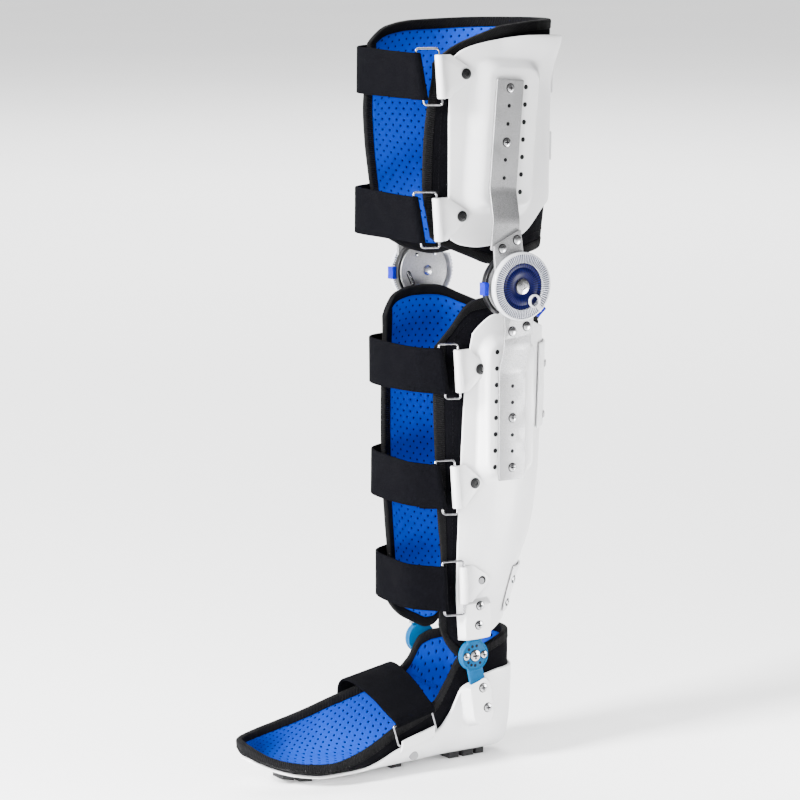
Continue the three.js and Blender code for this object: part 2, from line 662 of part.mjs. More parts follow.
// Hinge arm: a disc round the pin and a flat arm with two rivets.
function hingeArm(x, { outline, rivets }) {
  const face = x + STEEL;
  const eye = disc(ARM_DISC_RADIUS, x, face, KNEE.y, KNEE.z);
  const heads = rivets.map(([y, z]) => screwHead(face, y, z));
  const bore = disc(PIN_RADIUS + GAP, x - SCREW.root, face + SCREW.root, KNEE.y, KNEE.z);
  return cut(join(plate(outline, x, face), eye, ...heads), bore);
}

// Band of part of a ring about a Y on the knee's level, in Y and Z, from one angle to another.
function arcBand(y, inner, outer, from, to, steps) {
  const along = (radius, t) => {
    const angle = lerp(from, to, t);
    return [y + radius * Math.cos(angle), KNEE.z + radius * Math.sin(angle)];
  };
  const count = Array.from({ length: steps + 1 }, (_, k) => k / steps);
  return [...count.map((t) => along(outer, t)), ...count.reverse().map((t) => along(inner, t))];
}

// Closed loop of wire: a rectangle with round corners, spanned by two unit directions.
function wireLoop(centre, across, along, wide, tall) {
  const outline = roundedOutline(0, 0, wide, tall, WIRE.bend, 0, WIRE.corner);
  const normal = new THREE.Vector3().crossVectors(across, along).normalize();
  const points = [];
  const count = outline.length;
  const at = (k) => outline[(k + count) % count];
  for (let k = 0; k < count; k++) {
    const [a, b] = at(k);
    const before = at(k - 1);
    const after = at(k + 1);
    const tangent = new THREE.Vector2(after[0] - before[0], after[1] - before[1]).normalize();
    const middle = centre.clone().addScaledVector(across, a).addScaledVector(along, b);
    const outward = across.clone().multiplyScalar(tangent.y).addScaledVector(along, -tangent.x);
    for (let s = 0; s < WIRE.sides; s++) {
      const angle = (2 * Math.PI * s) / WIRE.sides;
      const spot = middle.clone().addScaledVector(outward, WIRE.radius * Math.cos(angle));
      points.push(spot.addScaledVector(normal, WIRE.radius * Math.sin(angle)).toArray());
    }
  }
  const triangles = [];
  for (let k = 0; k < count; k++) {
    for (let s = 0; s < WIRE.sides; s++) {
      const next = (k + 1) % count;
      const turn = (s + 1) % WIRE.sides;
      const [a, b] = [k * WIRE.sides + s, next * WIRE.sides + s];
      const [c, d] = [next * WIRE.sides + turn, k * WIRE.sides + turn];
      triangles.push([a, b, c], [a, c, d]);
    }
  }
  return closedGeometry(points, triangles);
}

// Strap along a route in plan, standing on edge, which rises evenly from its first end to its last.
function strapAlong(route, low, rise) {
  const corners = route.map(([x, y]) => new THREE.Vector3(x, y, 0));
  const path = new THREE.CatmullRomCurve3(corners, false, "centripetal");
  const steps = STRAP.steps * (route.length - 1);
  return slab(steps + 1, 2, (i, j, layer) => {
    const spot = path.getPoint(i / steps);
    const tangent = path.getTangent(i / steps);
    const side = (layer ? -0.5 : 0.5) * STRAP.thick;
    const z = low + j * STRAP.width + rise * (i / steps);
    return [spot.x - tangent.y * side, spot.y + tangent.x * side, z];
  });
}

// Loop of strap round a wire at (x, y): from its hidden tail to the point where it leaves the wire.
function wireWrap([x, y], towards, turns = WRAP.turns) {
  const radius = WIRE.radius + WRAP.clear + STRAP.thick / 2;
  const direction = Math.atan2(towards[1] - y, towards[0] - x);
  return turns.map((turn) => {
    const angle = direction + Math.PI + THREE.MathUtils.degToRad(turn);
    return [x + radius * Math.cos(angle), y + radius * Math.sin(angle)];
  });
}

// Tail of a strap, sewn flat behind the length that leads away from the wire.
function sewnTail([fromX, fromY], [toX, toY]) {
  const length = Math.hypot(toX - fromX, toY - fromY);
  const behind = ROUTE.tailBehind / length;
  return ROUTE.tail.map((t) => [
    lerp(fromX, toX, t) + (toY - fromY) * behind,
    lerp(fromY, toY, t) - (toX - fromX) * behind,
  ]);
}

// Bracket plate with a rivet end and a rolled sleeve, in which the ring's inner wire turns.
function strapBracket(x, [sleeveX, sleeveY], [rivetY, rivetZ], low, high) {
  const shoulder = sleeveY + BRACKET.shoulder;
  const outline = [[sleeveY, low], [sleeveY, high], [shoulder, high]];
  for (let k = 0; k <= BRACKET.steps; k++) {
    const angle = lerp(BRACKET.sweep, -BRACKET.sweep, k / BRACKET.steps);
    outline.push([rivetY + BRACKET.end * Math.cos(angle), rivetZ + BRACKET.end * Math.sin(angle)]);
  }
  outline.push([shoulder, low]);
  const tube = (radius, extra) =>
    new THREE.CylinderGeometry(radius, radius, high - low + extra, SLEEVE.sides)
      .rotateX(Math.PI / 2)
      .translate(sleeveX, sleeveY, (low + high) / 2);
  return cut(join(plate(outline, x, x + BRACKET.thick), tube(SLEEVE.radius, 0)), tube(SLEEVE.bore, 2));
}

// Cuffs: lining, liner and binding.
const thighWall = cuffWall(THIGH_SECTIONS, THIGH_FRONT, THIGH_EDGES);
const calfWall = cuffWall(CALF_SECTIONS, CALF_FRONT, CALF_EDGES);

function addCuffPadding(name, wall, inset) {
  const apart = { u: inset.u + INSET_GAP.u, v: inset.v + INSET_GAP.v };
  const { u, v } = CUFF_STEPS;
  addPiece(`${name}_lining`, panel(wall, apart, u, v, 0, LINING), "blueFabric");
  addPiece(`${name}_liner`, panel(wall, apart, u, v, LINER_IN, LINER_OUT), "blackFabric");
  addPiece(`${name}_binding`, border(wall, inset, u, v, 0, LINER_OUT), "blackFabric");
}

addCuffPadding("thigh", thighWall, THIGH_INSET);
addCuffPadding("calf", calfWall, CALF_INSET);

// Half shells: the lateral one with its raised pads, and the medial one with the rear tabs as well.
function addShells(name, sections, wall, pads, tabs, slots) {
  const bare = slab(SHELL_STEPS.u + 1, SHELL_STEPS.v + 1, (i, j, layer) =>
    wall(i / SHELL_STEPS.u, j / SHELL_STEPS.v, layer ? SHELL_IN : SHELL_OUT),
  );
  const half = cut(join(bare, ...pads), ...slots);
  addPiece(`${name}_shell_lateral`, half, "whitePlastic");
  addPiece(`${name}_shell_medial`, join(mirrored(half), ...rearTabs(sections, tabs)), "whitePlastic");
}

// Outline of a shell's raised pad.
function padOutline({ y, z, wide, tall, corner }, lean) {
  return roundedOutline(y, z, wide, tall, corner, lean);
}

// Rectangle in Y and Z.
function box(from, to, low, high) {
  return [[from, low], [to, low], [to, high], [from, high]];
}

const thighPad = raisedPad(THIGH_SECTIONS, padOutline(THIGH_PAD, -THIGH_LEAN), THIGH_PAD.root, THIGH_SEAT_X);
const thighShell = shellWall(THIGH_SECTIONS, THIGH_SHELL_FRONT, THIGH_SHELL_EDGES, THIGH_FLARE);
addShells("thigh", THIGH_SECTIONS, thighShell, [thighPad], THIGH_TABS, []);

const calfPad = raisedPad(CALF_SECTIONS, padOutline(CALF_PAD, 0), CALF_PAD.root, CALF_SEAT_X);
const bossBox = box(CALF_BOSS.from, CALF_BOSS.to, CALF_BOSS.low, CALF_BOSS.high);
const calfBoss = raisedPad(CALF_SECTIONS, bossBox, CALF_BOSS.root, CALF_BOSS.x);
const slotHalf = ANKLE_NECK / 2 + GAP;
const calfSlot = plate(
  box(-slotHalf, slotHalf, CALF_SLOT.low, CALF_SLOT.high),
  ANKLE_UPPER_X - GAP,
  ANKLE_UPPER_X + ANKLE_PLATE + GAP,
);
const calfShell = shellWall(CALF_SECTIONS, CALF_SHELL_FRONT, CALF_SHELL_EDGES, null);
addShells("calf", CALF_SECTIONS, calfShell, [calfPad, calfBoss], CALF_TABS, [calfSlot]);

// Struts and knee hinges, made for the lateral side and mirrored for the medial one.
function addPair(name, geometry, finish) {
  addPiece(`${name}_lateral`, geometry, finish);
  addPiece(`${name}_medial`, mirrored(geometry), finish);
}

addPair("thigh_strut", strut(THIGH_SEAT_X, LOWER_ARM_X, THIGH_STRUT), "steel");
addPair("calf_strut", strut(CALF_SEAT_X, CASE.outer - STEEL, CALF_STRUT), "steel");
addPair("hinge_arm_upper", hingeArm(UPPER_ARM_X, UPPER_ARM), "steel");
addPair("hinge_arm_lower", hingeArm(LOWER_ARM_X, LOWER_ARM), "steel");

const DIAL_FACE = DIAL_X + DIAL.thick;
const pin = disc(PIN_RADIUS, CASE.outer - SCREW.root, DIAL_FACE + SCREW.root, KNEE.y, KNEE.z);
addPair("hinge_case", join(disc(CASE.radius, CASE.inner, CASE.outer, CASE.y, KNEE.z, 28), pin), "steel");

// Dial: a clear cover with a skirt at its rear, a disc sunk into it, a pointer and a key at the rim.
const onDial = (radius, shift) => [
  KNEE.y + radius * Math.cos(POINTER.angle) - shift * Math.sin(POINTER.angle),
  KNEE.z + radius * Math.sin(POINTER.angle) + shift * Math.cos(POINTER.angle),
];
const bladeOnDial = ({ from, to, half }) => [
  onDial(from, -half), onDial(to, -half), onDial(to, half), onDial(from, half),
];
const coverProfile = [
  [DIAL_BORE, DIAL_X],
  [DIAL.radius - DIAL.bevel, DIAL_X],
  [DIAL.radius, DIAL_X + DIAL.foot],
  [DIAL.radius, DIAL_FACE - DIAL.bevel],
  [DIAL.radius - DIAL.bevel, DIAL_FACE - DIAL.lip],
  [DIAL.recess, DIAL_FACE],
  [DIAL.recess, DIAL_X + DIAL.floor],
  [DIAL_BORE, DIAL_X + DIAL.floor],
];
const skirtOutline = arcBand(KNEE.y, SKIRT.inner, SKIRT.outer, SKIRT.from, SKIRT.to, SKIRT.steps);
const skirt = plate(skirtOutline, SKIRT.x, DIAL_X + SKIRT.root);
const pointer = plate(bladeOnDial(POINTER), DIAL_FACE - POINTER.root, DIAL_FACE + POINTER.proud);
addPair("dial_cover", join(turned(coverProfile, KNEE.y, KNEE.z, 24), skirt, pointer), "clearPlastic");

const discProfile = [
  [DIAL_BORE, DIAL_X + DIAL.floor + GAP],
  [DIAL.disc, DIAL_X + DIAL.floor + GAP],
  [DIAL.disc, DIAL_FACE - DIAL.sunk],
  [DIAL_BORE, DIAL_FACE - DIAL.sunk],
];
addPair("dial_disc", turned(discProfile, KNEE.y, KNEE.z, 24), "navyPlastic");
addPair("dial_key", plate(bladeOnDial(KEY), DIAL_X + KEY.low, DIAL_X + KEY.high), "bluePlastic");

// Bumper round the front of the hinge case, and the lock slider on it.
const front = [Math.PI - BUMPER.half, Math.PI + BUMPER.half];
const bumperOutline = arcBand(CASE.y, BUMPER.inner, BUMPER.outer, ...front, BUMPER.steps);
addPair("hinge_bumper", plate(bumperOutline, CASE.inner + BUMPER.inset, CASE.outer), "blackPlastic");
const sliderY = CASE.y - BUMPER.outer - GAP;
const sliderOutline = box(sliderY - SLIDER.wide, sliderY, SLIDER.low, SLIDER.high);
const slider = plate(sliderOutline, CASE.inner + SLIDER.inset, CASE.outer - SLIDER.lip);
addPair("lock_slider", slider, "bluePlastic");

// Ankle hinges. The upper arm carries the pivot screw, and the lower arm leans back into the heel cup.
const ankleDisc = (x) => disc(ANKLE_DISC_RADIUS, x, x + ANKLE_PLATE, ANKLE.y, ANKLE.z);
const neckHalf = ANKLE_NECK / 2;
const upperNeck = box(-neckHalf, neckHalf, ANKLE.z, ANKLE_UPPER_TOP);
const upperFace = ANKLE_UPPER_X + ANKLE_PLATE;
const sideScrew = (y) =>
  disc(SIDE_SCREW.radius, ANKLE_UPPER_X + SIDE_SCREW.root, upperFace + SIDE_SCREW.proud, y, ANKLE.z, 12);
const pivotScrew = disc(
  ANKLE_SCREW.radius, ANKLE_LOWER_X - ANKLE_SCREW.tip, upperFace + ANKLE_SCREW.proud, ANKLE.y, ANKLE.z, 16,
);
const upperArm = join(
  ankleDisc(ANKLE_UPPER_X),
  plate(upperNeck, ANKLE_UPPER_X, upperFace),
  pivotScrew,
  sideScrew(ANKLE.y - SIDE_SCREW.apart),
  sideScrew(ANKLE.y + SIDE_SCREW.apart),
);
addPair("ankle_arm_upper", upperArm, "cyanMetal");

const leaned = (across, down) => [
  ANKLE.y + across * Math.cos(FOOT_LEAN) + down * Math.sin(FOOT_LEAN),
  ANKLE.z + across * Math.sin(FOOT_LEAN) - down * Math.cos(FOOT_LEAN),
];
const leanedBox = (wide, down) => [
  leaned(-wide, 0), leaned(-wide, down), leaned(wide, down), leaned(wide, 0),
];
const lowerNeck = leanedBox(neckHalf, ANKLE_LOWER_LENGTH);
const lowerFace = ANKLE_LOWER_X + ANKLE_PLATE;
const lowerArm = cut(
  join(ankleDisc(ANKLE_LOWER_X), plate(lowerNeck, ANKLE_LOWER_X, lowerFace)),
  disc(ANKLE_SCREW.radius + GAP, ANKLE_LOWER_X - SCREW.root, lowerFace + SCREW.root, ANKLE.y, ANKLE.z, 16),
);
addPair("ankle_arm_lower", lowerArm, "cyanMetal");

// Straps, rings and brackets of the two cuffs.
for (const row of CUFF_STRAPS) {
  const thigh = row.cuff === "thigh";
  const sections = thigh ? THIGH_SECTIONS : CALF_SECTIONS;
  const wallFront = thigh ? THIGH_FRONT : CALF_FRONT;
  const shellFront = thigh ? THIGH_SHELL_FRONT : CALF_SHELL_FRONT;
  const middle = row.low + STRAP.width / 2;
  const widest = row.low + row.rise + STRAP.width;
  const medialEdge = lookup(wallFront, "z", middle, "medial");
  const medialGirth = (y) => -girthAt(sections, y, widest);
  const outside = (y, offset) => legPoint(sections, medialGirth(y), widest, offset).slice(0, 2);
  const clear = STRAP.thick / 2 + ROUTE.clear;
  const out = ROUTE.slackOut * row.slack;
  const [cornerX, cornerY] = outside(medialEdge, LINER_OUT + clear + ROUTE.cornerOut);
  const [wireX, wireY] = row.wire;
  const crossing = Math.min(cornerY - ROUTE.cross, wireY - ROUTE.wire);
  const crown = crossing - ROUTE.crown - row.slack;
  const wrap = wireWrap(row.wire, [0, crown]);
  const lead = [wireX - ROUTE.lead[0], lerp(crossing, crown, 1 / 3) - ROUTE.lead[1]];
  const route = [
    ...(row.tail ? sewnTail(wrap[wrap.length - 1], lead) : []),
    ...wrap,
    lead,
    [0, crown],
    [cornerX + ROUTE.turn[0] - out, crossing - ROUTE.turn[1] - row.slack],
    [cornerX + ROUTE.corner[0] - out, cornerY - ROUTE.corner[1] - ROUTE.slackCorner * row.slack],
    outside(medialEdge + ROUTE.side, LINER_OUT + clear + ROUTE.sideOut + out),
    outside(lookup(shellFront, "z", middle, "y") - ROUTE.shell, SHELL_OUT + clear + ROUTE.shellOut),
    outside(ROUTE.endY, SHELL_OUT + clear + ROUTE.shellOut),
  ];
  addPiece(`${row.cuff}_strap_${row.at}`, strapAlong(route, row.low, row.rise), "blackFabric");

  const sleeve = new THREE.Vector3(...row.sleeve, middle);
  const across = new THREE.Vector3(...row.wire, middle).sub(sleeve);
  const centre = sleeve.clone().addScaledVector(across, 0.5);
  const span = across.length();
  const ring = wireLoop(centre, across.normalize(), UP, span, STRAP.width + RING_SPARE);
  addPiece(`${row.cuff}_ring_${row.at}`, ring, "chrome");

  const [rivetY, rivetZ] = row.rivet;
  const bracketLow = Math.max(row.low + BRACKET.trim, BRACKET.lowest);
  const bracketHigh = row.low + STRAP.width - BRACKET.trim;
  const endGirth = girthAt(sections, rivetY + BRACKET.end, bracketHigh);
  const bracketX = legPoint(sections, endGirth, bracketHigh, SHELL_OUT)[0] + GAP;
  const bracket = strapBracket(bracketX, row.sleeve, row.rivet, bracketLow, bracketHigh);
  addPiece(`${row.cuff}_bracket_${row.at}`, bracket, "whitePlastic");
  if (thigh || row.at !== "lower") {
    const head = bracketX + BRACKET.thick + GAP;
    const rivet = disc(RIVET.radius, head, head + RIVET.tall, rivetY, rivetZ, 12);
    addPiece(`${row.cuff}_rivet_${row.at}`, rivet, "blackPlastic");
  }
}

// Foot: bowls that share one outline, each between two offsets from the padded wall's outer face.

// Plan point of the foot's outline at a station, moved outwards by an offset.
function footRim(index, side, offset) {
  const width = (k) => (side > 0 ? FOOT_STATIONS[k].lat : -FOOT_STATIONS[k].med);
  const last = FOOT_STATIONS.length - 1;
  const here = FOOT_STATIONS[index];
  if (index === 0) return [0, here.y + offset];
  if (index === last) return [width(last), here.y - offset];
  const dx = width(index + 1) - width(index - 1);
  const dy = FOOT_STATIONS[index + 1].y - FOOT_STATIONS[index - 1].y;
  const length = Math.hypot(dx, dy);
  const move = (side * offset) / length;
  return [width(index) - dy * move, here.y + dx * move];
}

// Point of a foot bowl: across runs from -1 at the medial rim to 1 at the lateral rim.
function footPoint(index, across, offset) {
  const side = across < 0 ? -1 : 1;
  const last = FOOT_STATIONS.length - 1;
  const row = FOOT_STATIONS[index];
  const angle = (Math.abs(across) * Math.PI) / 2;
  const out = Math.sin(angle) ** FOOT_CORNER;
  const rise = 1 - Math.max(Math.cos(angle), 0) ** FOOT_CORNER;
  const [rimX, rimY] = footRim(index, side, offset);
  const spineX = (row.lat - row.med) / 2;
  const toeEnd = FOOT_STATIONS[last].y + FOOT_SPINE_END;
  const spineY = THREE.MathUtils.clamp(row.y, toeEnd, FOOT_STATIONS[0].y - FOOT_SPINE_END);
  const sole = lerp(lookup(FOOT_STATIONS, "y", spineY, "sole"), row.sole, out);
  const floor = sole + FOOT_FLOOR_RISE - offset;
  const top = side > 0 ? row.padLat : row.padMed;
  return [lerp(spineX, rimX, out), lerp(spineY, rimY, out), lerp(floor, top, rise)];
}

// Share of the way across at which the padded wall is a given height below its rim.
function acrossBelowRim(index, side, below) {
  const row = FOOT_STATIONS[index];
  const top = side > 0 ? row.padLat : row.padMed;
  const share = THREE.MathUtils.clamp(below / (top - row.sole - FOOT_FLOOR_RISE), 0, FOOT_DEEPEST);
  return Math.acos(share ** (1 / FOOT_CORNER)) / (Math.PI / 2);
}

// Height of the shell's edge below the padded wall's rim.
function shellBelowRim(index, side) {
  const row = FOOT_STATIONS[index];
  return side > 0 ? row.padLat - row.shellLat : row.padMed - row.shellMed;
}

function footBowl(inner, outer, belowRim) {
  return slab(
    FOOT_STATIONS.length,
    FOOT_COLUMNS + 1,
    (i, j, layer) => {
      const share = (2 * j) / FOOT_COLUMNS - 1;
      const side = Math.sign(share);
      return footPoint(i, share * acrossBelowRim(i, side, belowRim(i, side)), layer ? inner : outer);
    },
    { capRows: false },
  );
}

const FOOT_LINING = [-LINER_OUT, -LINER_OUT + LINING - GAP];
const FOOT_LINER = [-LINER, 0];
const underBinding = () => BINDING_WIDTH + FOOT_BINDING_GAP;
addPiece("foot_lining", footBowl(...FOOT_LINING, underBinding), "blueFabric");
addPiece("foot_liner", footBowl(...FOOT_LINER, underBinding), "blackFabric");

const rimLoop = [];
for (let i = 0; i < FOOT_STATIONS.length; i++) rimLoop.push([i, 1]);
for (let i = FOOT_STATIONS.length - 2; i > 0; i--) rimLoop.push([i, -1]);
const footBinding = slab(
  rimLoop.length,
  2,
  (k, j, layer) => {
    const [i, side] = rimLoop[k];
    const reach = j ? 1 : acrossBelowRim(i, side, BINDING_WIDTH);
    return footPoint(i, side * reach, layer ? -LINER_OUT : 0);
  },
  { ring: true },
);
addPiece("foot_binding", footBinding, "blackFabric");

// Foot shell with a boss and a slot for each lower ankle arm.
const bossOutline = roundedOutline(
  ...leaned(0, ANKLE_LOWER_LENGTH), FOOT_BOSS.wide, FOOT_BOSS.tall, FOOT_BOSS.corner, FOOT_LEAN,
);
const footCore = footBowl(-FOOT_CORE_DEPTH, SHELL_GAP + GAP, () => 0);
const footBoss = cut(plate(bossOutline, FOOT_BOSS.root, FOOT_BOSS.x), footCore);
const footSlot = plate(leanedBox(slotHalf, FOOT_BOSS.slot), ANKLE_LOWER_X - GAP, lowerFace + GAP);
const bareFoot = footBowl(SHELL_GAP, SHELL_GAP + SHELL, shellBelowRim);
const footShell = cut(join(bareFoot, footBoss, mirrored(footBoss)), footSlot, mirrored(footSlot));
addPiece("foot_shell", footShell, "whitePlastic");

// Tread with its comb of lugs, following the toe spring.
const treadTop = (y) => lookup(FOOT_STATIONS, "y", y, "sole") - GAP;
const treadUnder = LUGS.flatMap(({ from, to }) => [
  [from, treadTop(from) - TREAD.pad],
  [from, treadTop(from) - TREAD.pad - TREAD.lug],
  [to, treadTop(to) - TREAD.pad - TREAD.lug],
  [to, treadTop(to) - TREAD.pad],
]);
const treadOver = [];
for (let y = TREAD.to; y >= TREAD.from; y -= TREAD.step) treadOver.push([y, treadTop(y)]);
addPiece("tread", plate([...treadUnder.slice(1, -1), ...treadOver], TREAD.medial, TREAD.lateral), "rubber");

// Foot ring on the lateral wall, and the strap that starts round its upper wire.
const ringCentre = new THREE.Vector3(FOOT_RING.x, FOOT_RING.y, FOOT_RING.z);
const ringAlong = new THREE.Vector3(FOOT_RING.yaw, 1, FOOT_STRAP.slope).normalize();
const ringOut = new THREE.Vector3(1, -FOOT_RING.yaw, FOOT_RING.lean);
const ringAcross = new THREE.Vector3().crossVectors(ringAlong, ringOut).normalize();
const footRing = wireLoop(ringCentre, ringAcross, ringAlong, FOOT_RING.span, FOOT_RING.length);
addPiece("foot_ring", footRing, "chrome");

const ringWire = ringCentre.clone().addScaledVector(ringAcross, -FOOT_RING.span / 2);
ringWire.addScaledVector(ringAlong, (FOOT_STRAP.y - ringWire.y) / ringAlong.y);
const footWrap = wireWrap([ringWire.x, ringWire.z], FOOT_STRAP_ROUTE[0], FOOT_STRAP.turns);
const footRoute = [...footWrap, ...FOOT_STRAP_ROUTE];
const strapPath = new THREE.CatmullRomCurve3(
  footRoute.map(([x, z]) => new THREE.Vector3(x, 0, z)),
  false,
  "centripetal",
);
const footStrapSteps = STRAP.steps * (footRoute.length - 1);
const footStrap = slab(footStrapSteps + 1, 2, (i, j, layer) => {
  const spot = strapPath.getPoint(i / footStrapSteps);
  const tangent = strapPath.getTangent(i / footStrapSteps);
  const side = (layer ? -0.5 : 0.5) * STRAP.thick;
  const along = (j - 0.5) * lerp(FOOT_STRAP.width, FOOT_STRAP.medialWidth, i / footStrapSteps);
  const taper = spot.x > 0 ? FOOT_STRAP_TAPER.lateral : FOOT_STRAP_TAPER.medial;
  const x = (spot.x - tangent.z * side) * (1 - taper * along);
  return [x, FOOT_STRAP.y + along, spot.z + tangent.x * side + FOOT_STRAP.slope * along];
});
addPiece("foot_strap", footStrap, "blackFabric");

export default brace;
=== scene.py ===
"""Looks of a knee ankle foot brace: padded cuffs and boot, white half shells, straps and hinged uprights."""

import logging
import math
from dataclasses import dataclass
from enum import Enum, IntEnum
from typing import Callable, Iterable

import bpy
import numpy as np
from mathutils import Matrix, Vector


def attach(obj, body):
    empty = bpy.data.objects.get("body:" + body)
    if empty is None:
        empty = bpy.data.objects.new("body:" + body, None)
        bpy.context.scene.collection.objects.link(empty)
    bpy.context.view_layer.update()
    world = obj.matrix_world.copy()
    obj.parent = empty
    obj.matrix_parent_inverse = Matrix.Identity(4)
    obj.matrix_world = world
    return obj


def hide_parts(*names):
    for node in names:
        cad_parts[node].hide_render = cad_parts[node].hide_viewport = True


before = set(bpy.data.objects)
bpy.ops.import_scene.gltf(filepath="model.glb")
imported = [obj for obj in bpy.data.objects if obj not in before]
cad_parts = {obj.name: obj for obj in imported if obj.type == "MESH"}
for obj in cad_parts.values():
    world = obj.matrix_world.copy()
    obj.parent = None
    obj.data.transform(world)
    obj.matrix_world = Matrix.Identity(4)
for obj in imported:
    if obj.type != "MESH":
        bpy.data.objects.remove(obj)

LOG = logging.getLogger("brace")
Array = np.ndarray
Rows = tuple[tuple[float, ...], ...]
Colour = tuple[float, float, float]
Socket = bpy.types.NodeSocket
Value = Socket | float
Place = Callable[[Array, Array, Array], Array]
Border = Callable[[Array, Array], Array]
Ripple = Callable[[Array, Array, Array], tuple[Array, Array]]

MM = 0.001
FLAT_MAP = "flat"
SHARP_ANGLE = math.radians(38)
WELD = 1e-3
SIDES = ((1, "lateral"), (-1, "medial"))

# Sizes shared by several sub-assemblies, in millimetres.
GAP = 0.3
KNEE_Y, KNEE_Z = 27.0, 509.5
ANKLE_Y, ANKLE_Z = 0.0, 118.8
LINING = 2.4
LINER_IN, LINER_OUT = 2.7, 5.9
SHELL_IN, SHELL_OUT = 6.8, 9.8
BINDING = 10.0
STRAP_WIDE, STRAP_THICK = 48.0, 2.6
WIRE = 1.3
WIRE_LOOK = 1.15
WRAP = WIRE + 0.9 + STRAP_THICK / 2
STEEL = 3.0
FLAT_LENGTH = 100.0
THIGH_LEAN = 0.079
DIAL_RADIUS, DIAL_RIBS = 35.0, 84
DISC_RADIUS, DISC_RAYS = 23.8, 48
HEM_STITCH = (4.4, 3.0, 0.45)
SCREW_TALL = 2.0


class Body(Enum):
    """The rigid bodies that the pieces ride on."""

    THIGH = "thigh"
    CALF = "calf"
    FOOT = "foot"


class Pattern(Enum):
    """Surface patterns of the finishes."""

    GRAIN = "grain"
    PERFORATED = "perforated"
    KNIT = "knit"
    RIBBED = "ribbed"
    GRIT = "grit"
    RAYS = "rays"


class Recess(Enum):
    """Driver recess of a screw head."""

    NONE = "none"
    CROSS = "cross"
    HEX = "hex"


# Surfaces.


@dataclass(frozen=True)
class Surface:
    """Four-sided faces over points in millimetres, with flat coordinates at each face corner."""

    points: Array
    quads: Array
    flat: Array

    def outward(self) -> "Surface":
        """Turn the faces so that the volume that they close is positive.

        Returns:
            The surface with its faces pointing outwards.
        """
        a, b, c, d = (self.points[self.quads[:, k]] for k in range(4))
        volume = np.sum(a * np.cross(b, c)) + np.sum(a * np.cross(c, d))
        if volume >= 0:
            return self
        return Surface(self.points, self.quads[:, ::-1], self.flat[:, ::-1])

    def mirrored(self, plane: float = 0.0) -> "Surface":
        """Return the same surface on the other side of a plane across X."""
        return Surface(self.points * (-1, 1, 1) + (2 * plane, 0, 0), self.quads, self.flat)

    def on_side(self, side: int) -> "Surface":
        """Return this lateral surface for side 1, and its mirror image for side -1."""
        return self if side > 0 else self.mirrored()


def both_sides(parts: list[Surface]) -> list[Surface]:
    """Return every lateral surface followed by its mirror image."""
    return [part.on_side(side) for part in parts for side, _ in SIDES]


def grid(
    points: Array, along: Array, across: Array, wrap_along: bool = False, wrap_across: bool = False
) -> Surface:
    """Join a grid of points with faces.

    Args:
        points: Rows by columns by 3.
        along: Flat coordinate of each row, with one more value if the rows wrap.
        across: Flat coordinate of each column, with one more value if the columns wrap.
        wrap_along: Whether the last row meets the first.
        wrap_across: Whether the last column meets the first.

    Returns:
        The surface, with its faces in the grid's own order.
    """
    rows, columns = points.shape[:2]
    i, j = np.meshgrid(
        np.arange(rows - (not wrap_along)), np.arange(columns - (not wrap_across)), indexing="ij"
    )
    corners = [(i, j), (i + 1, j), (i + 1, j + 1), (i, j + 1)]
    quads = np.stack([(a % rows) * columns + b % columns for a, b in corners], -1)
    flat = np.stack([np.stack([along[a], across[b]], -1) for a, b in corners], -2)
    return Surface(points.reshape(-1, 3), quads.reshape(-1, 4), flat.reshape(-1, 4, 2))


def stacked(parts: list[Surface]) -> Surface:
    """Put several surfaces into one, each as it is.

    Args:
        parts: The surfaces.

    Returns:
        One surface with all their points and faces.
    """
    starts = np.cumsum([0] + [len(part.points) for part in parts[:-1]])
    return Surface(
        np.concatenate([part.points for part in parts]),
        np.concatenate([part.quads + start for part, start in zip(parts, starts)]),
        np.concatenate([part.flat for part in parts]),
    )


def unit(vectors: Array) -> Array:
    """Return vectors along the last axis, each with a length of 1."""
    return vectors / np.linalg.norm(vectors, axis=-1, keepdims=True)


def capped(points: Array) -> Array:
    """Add a row before and after a grid of points, where the end rows shrink to their middle.

    Args:
        points: Rows by columns by 3.

    Returns:
        The points with two more rows.
    """
    ends = np.broadcast_to(points[[0, -1]].mean(axis=1, keepdims=True), points[[0, -1]].shape)
    return np.concatenate([ends[:1], points, ends[1:]])


def sampled(spots: Array, keys: Array, values: Array) -> Array:
    """Return every column of a table of values at places along its keys, on a new last axis."""
    return np.stack([np.interp(spots, keys, column) for column in values.T], -1)


def lengths(points: Array) -> Array:
    """Add up the distance along the first axis of an array of points.

    Args:
        points: Rows of points, by any further axes, by 3.

    Returns:
        Distance from the first row, in the shape of the points.
    """
    steps = np.linalg.norm(np.diff(points, axis=0), axis=-1)
    return np.concatenate([np.zeros_like(steps[:1]), np.cumsum(steps, axis=0)])


def edged(count: int, length: float, rim: float) -> Array:
    """Even steps from 0 to 1, with close ones inside a round rim at both ends.

    Args:
        count: Number of even steps between the rims.
        length: Real length of the whole run.
        rim: Real width of the round rim.

    Returns:
        Rising values from 0 to 1.
    """
    close = np.array([0.0, 0.07, 0.28, 0.6]) * rim / length
    middle = np.linspace(rim / length, 1 - rim / length, count)
    return np.concatenate([close, middle, 1 - close[::-1]])


def smooth(value: Array, low: float, high: float) -> Array:
    """Return the smooth step of a value from 0 at low to 1 at high."""
    t = np.clip((value - low) / (high - low), 0, 1)
    return t * t * (3 - 2 * t)


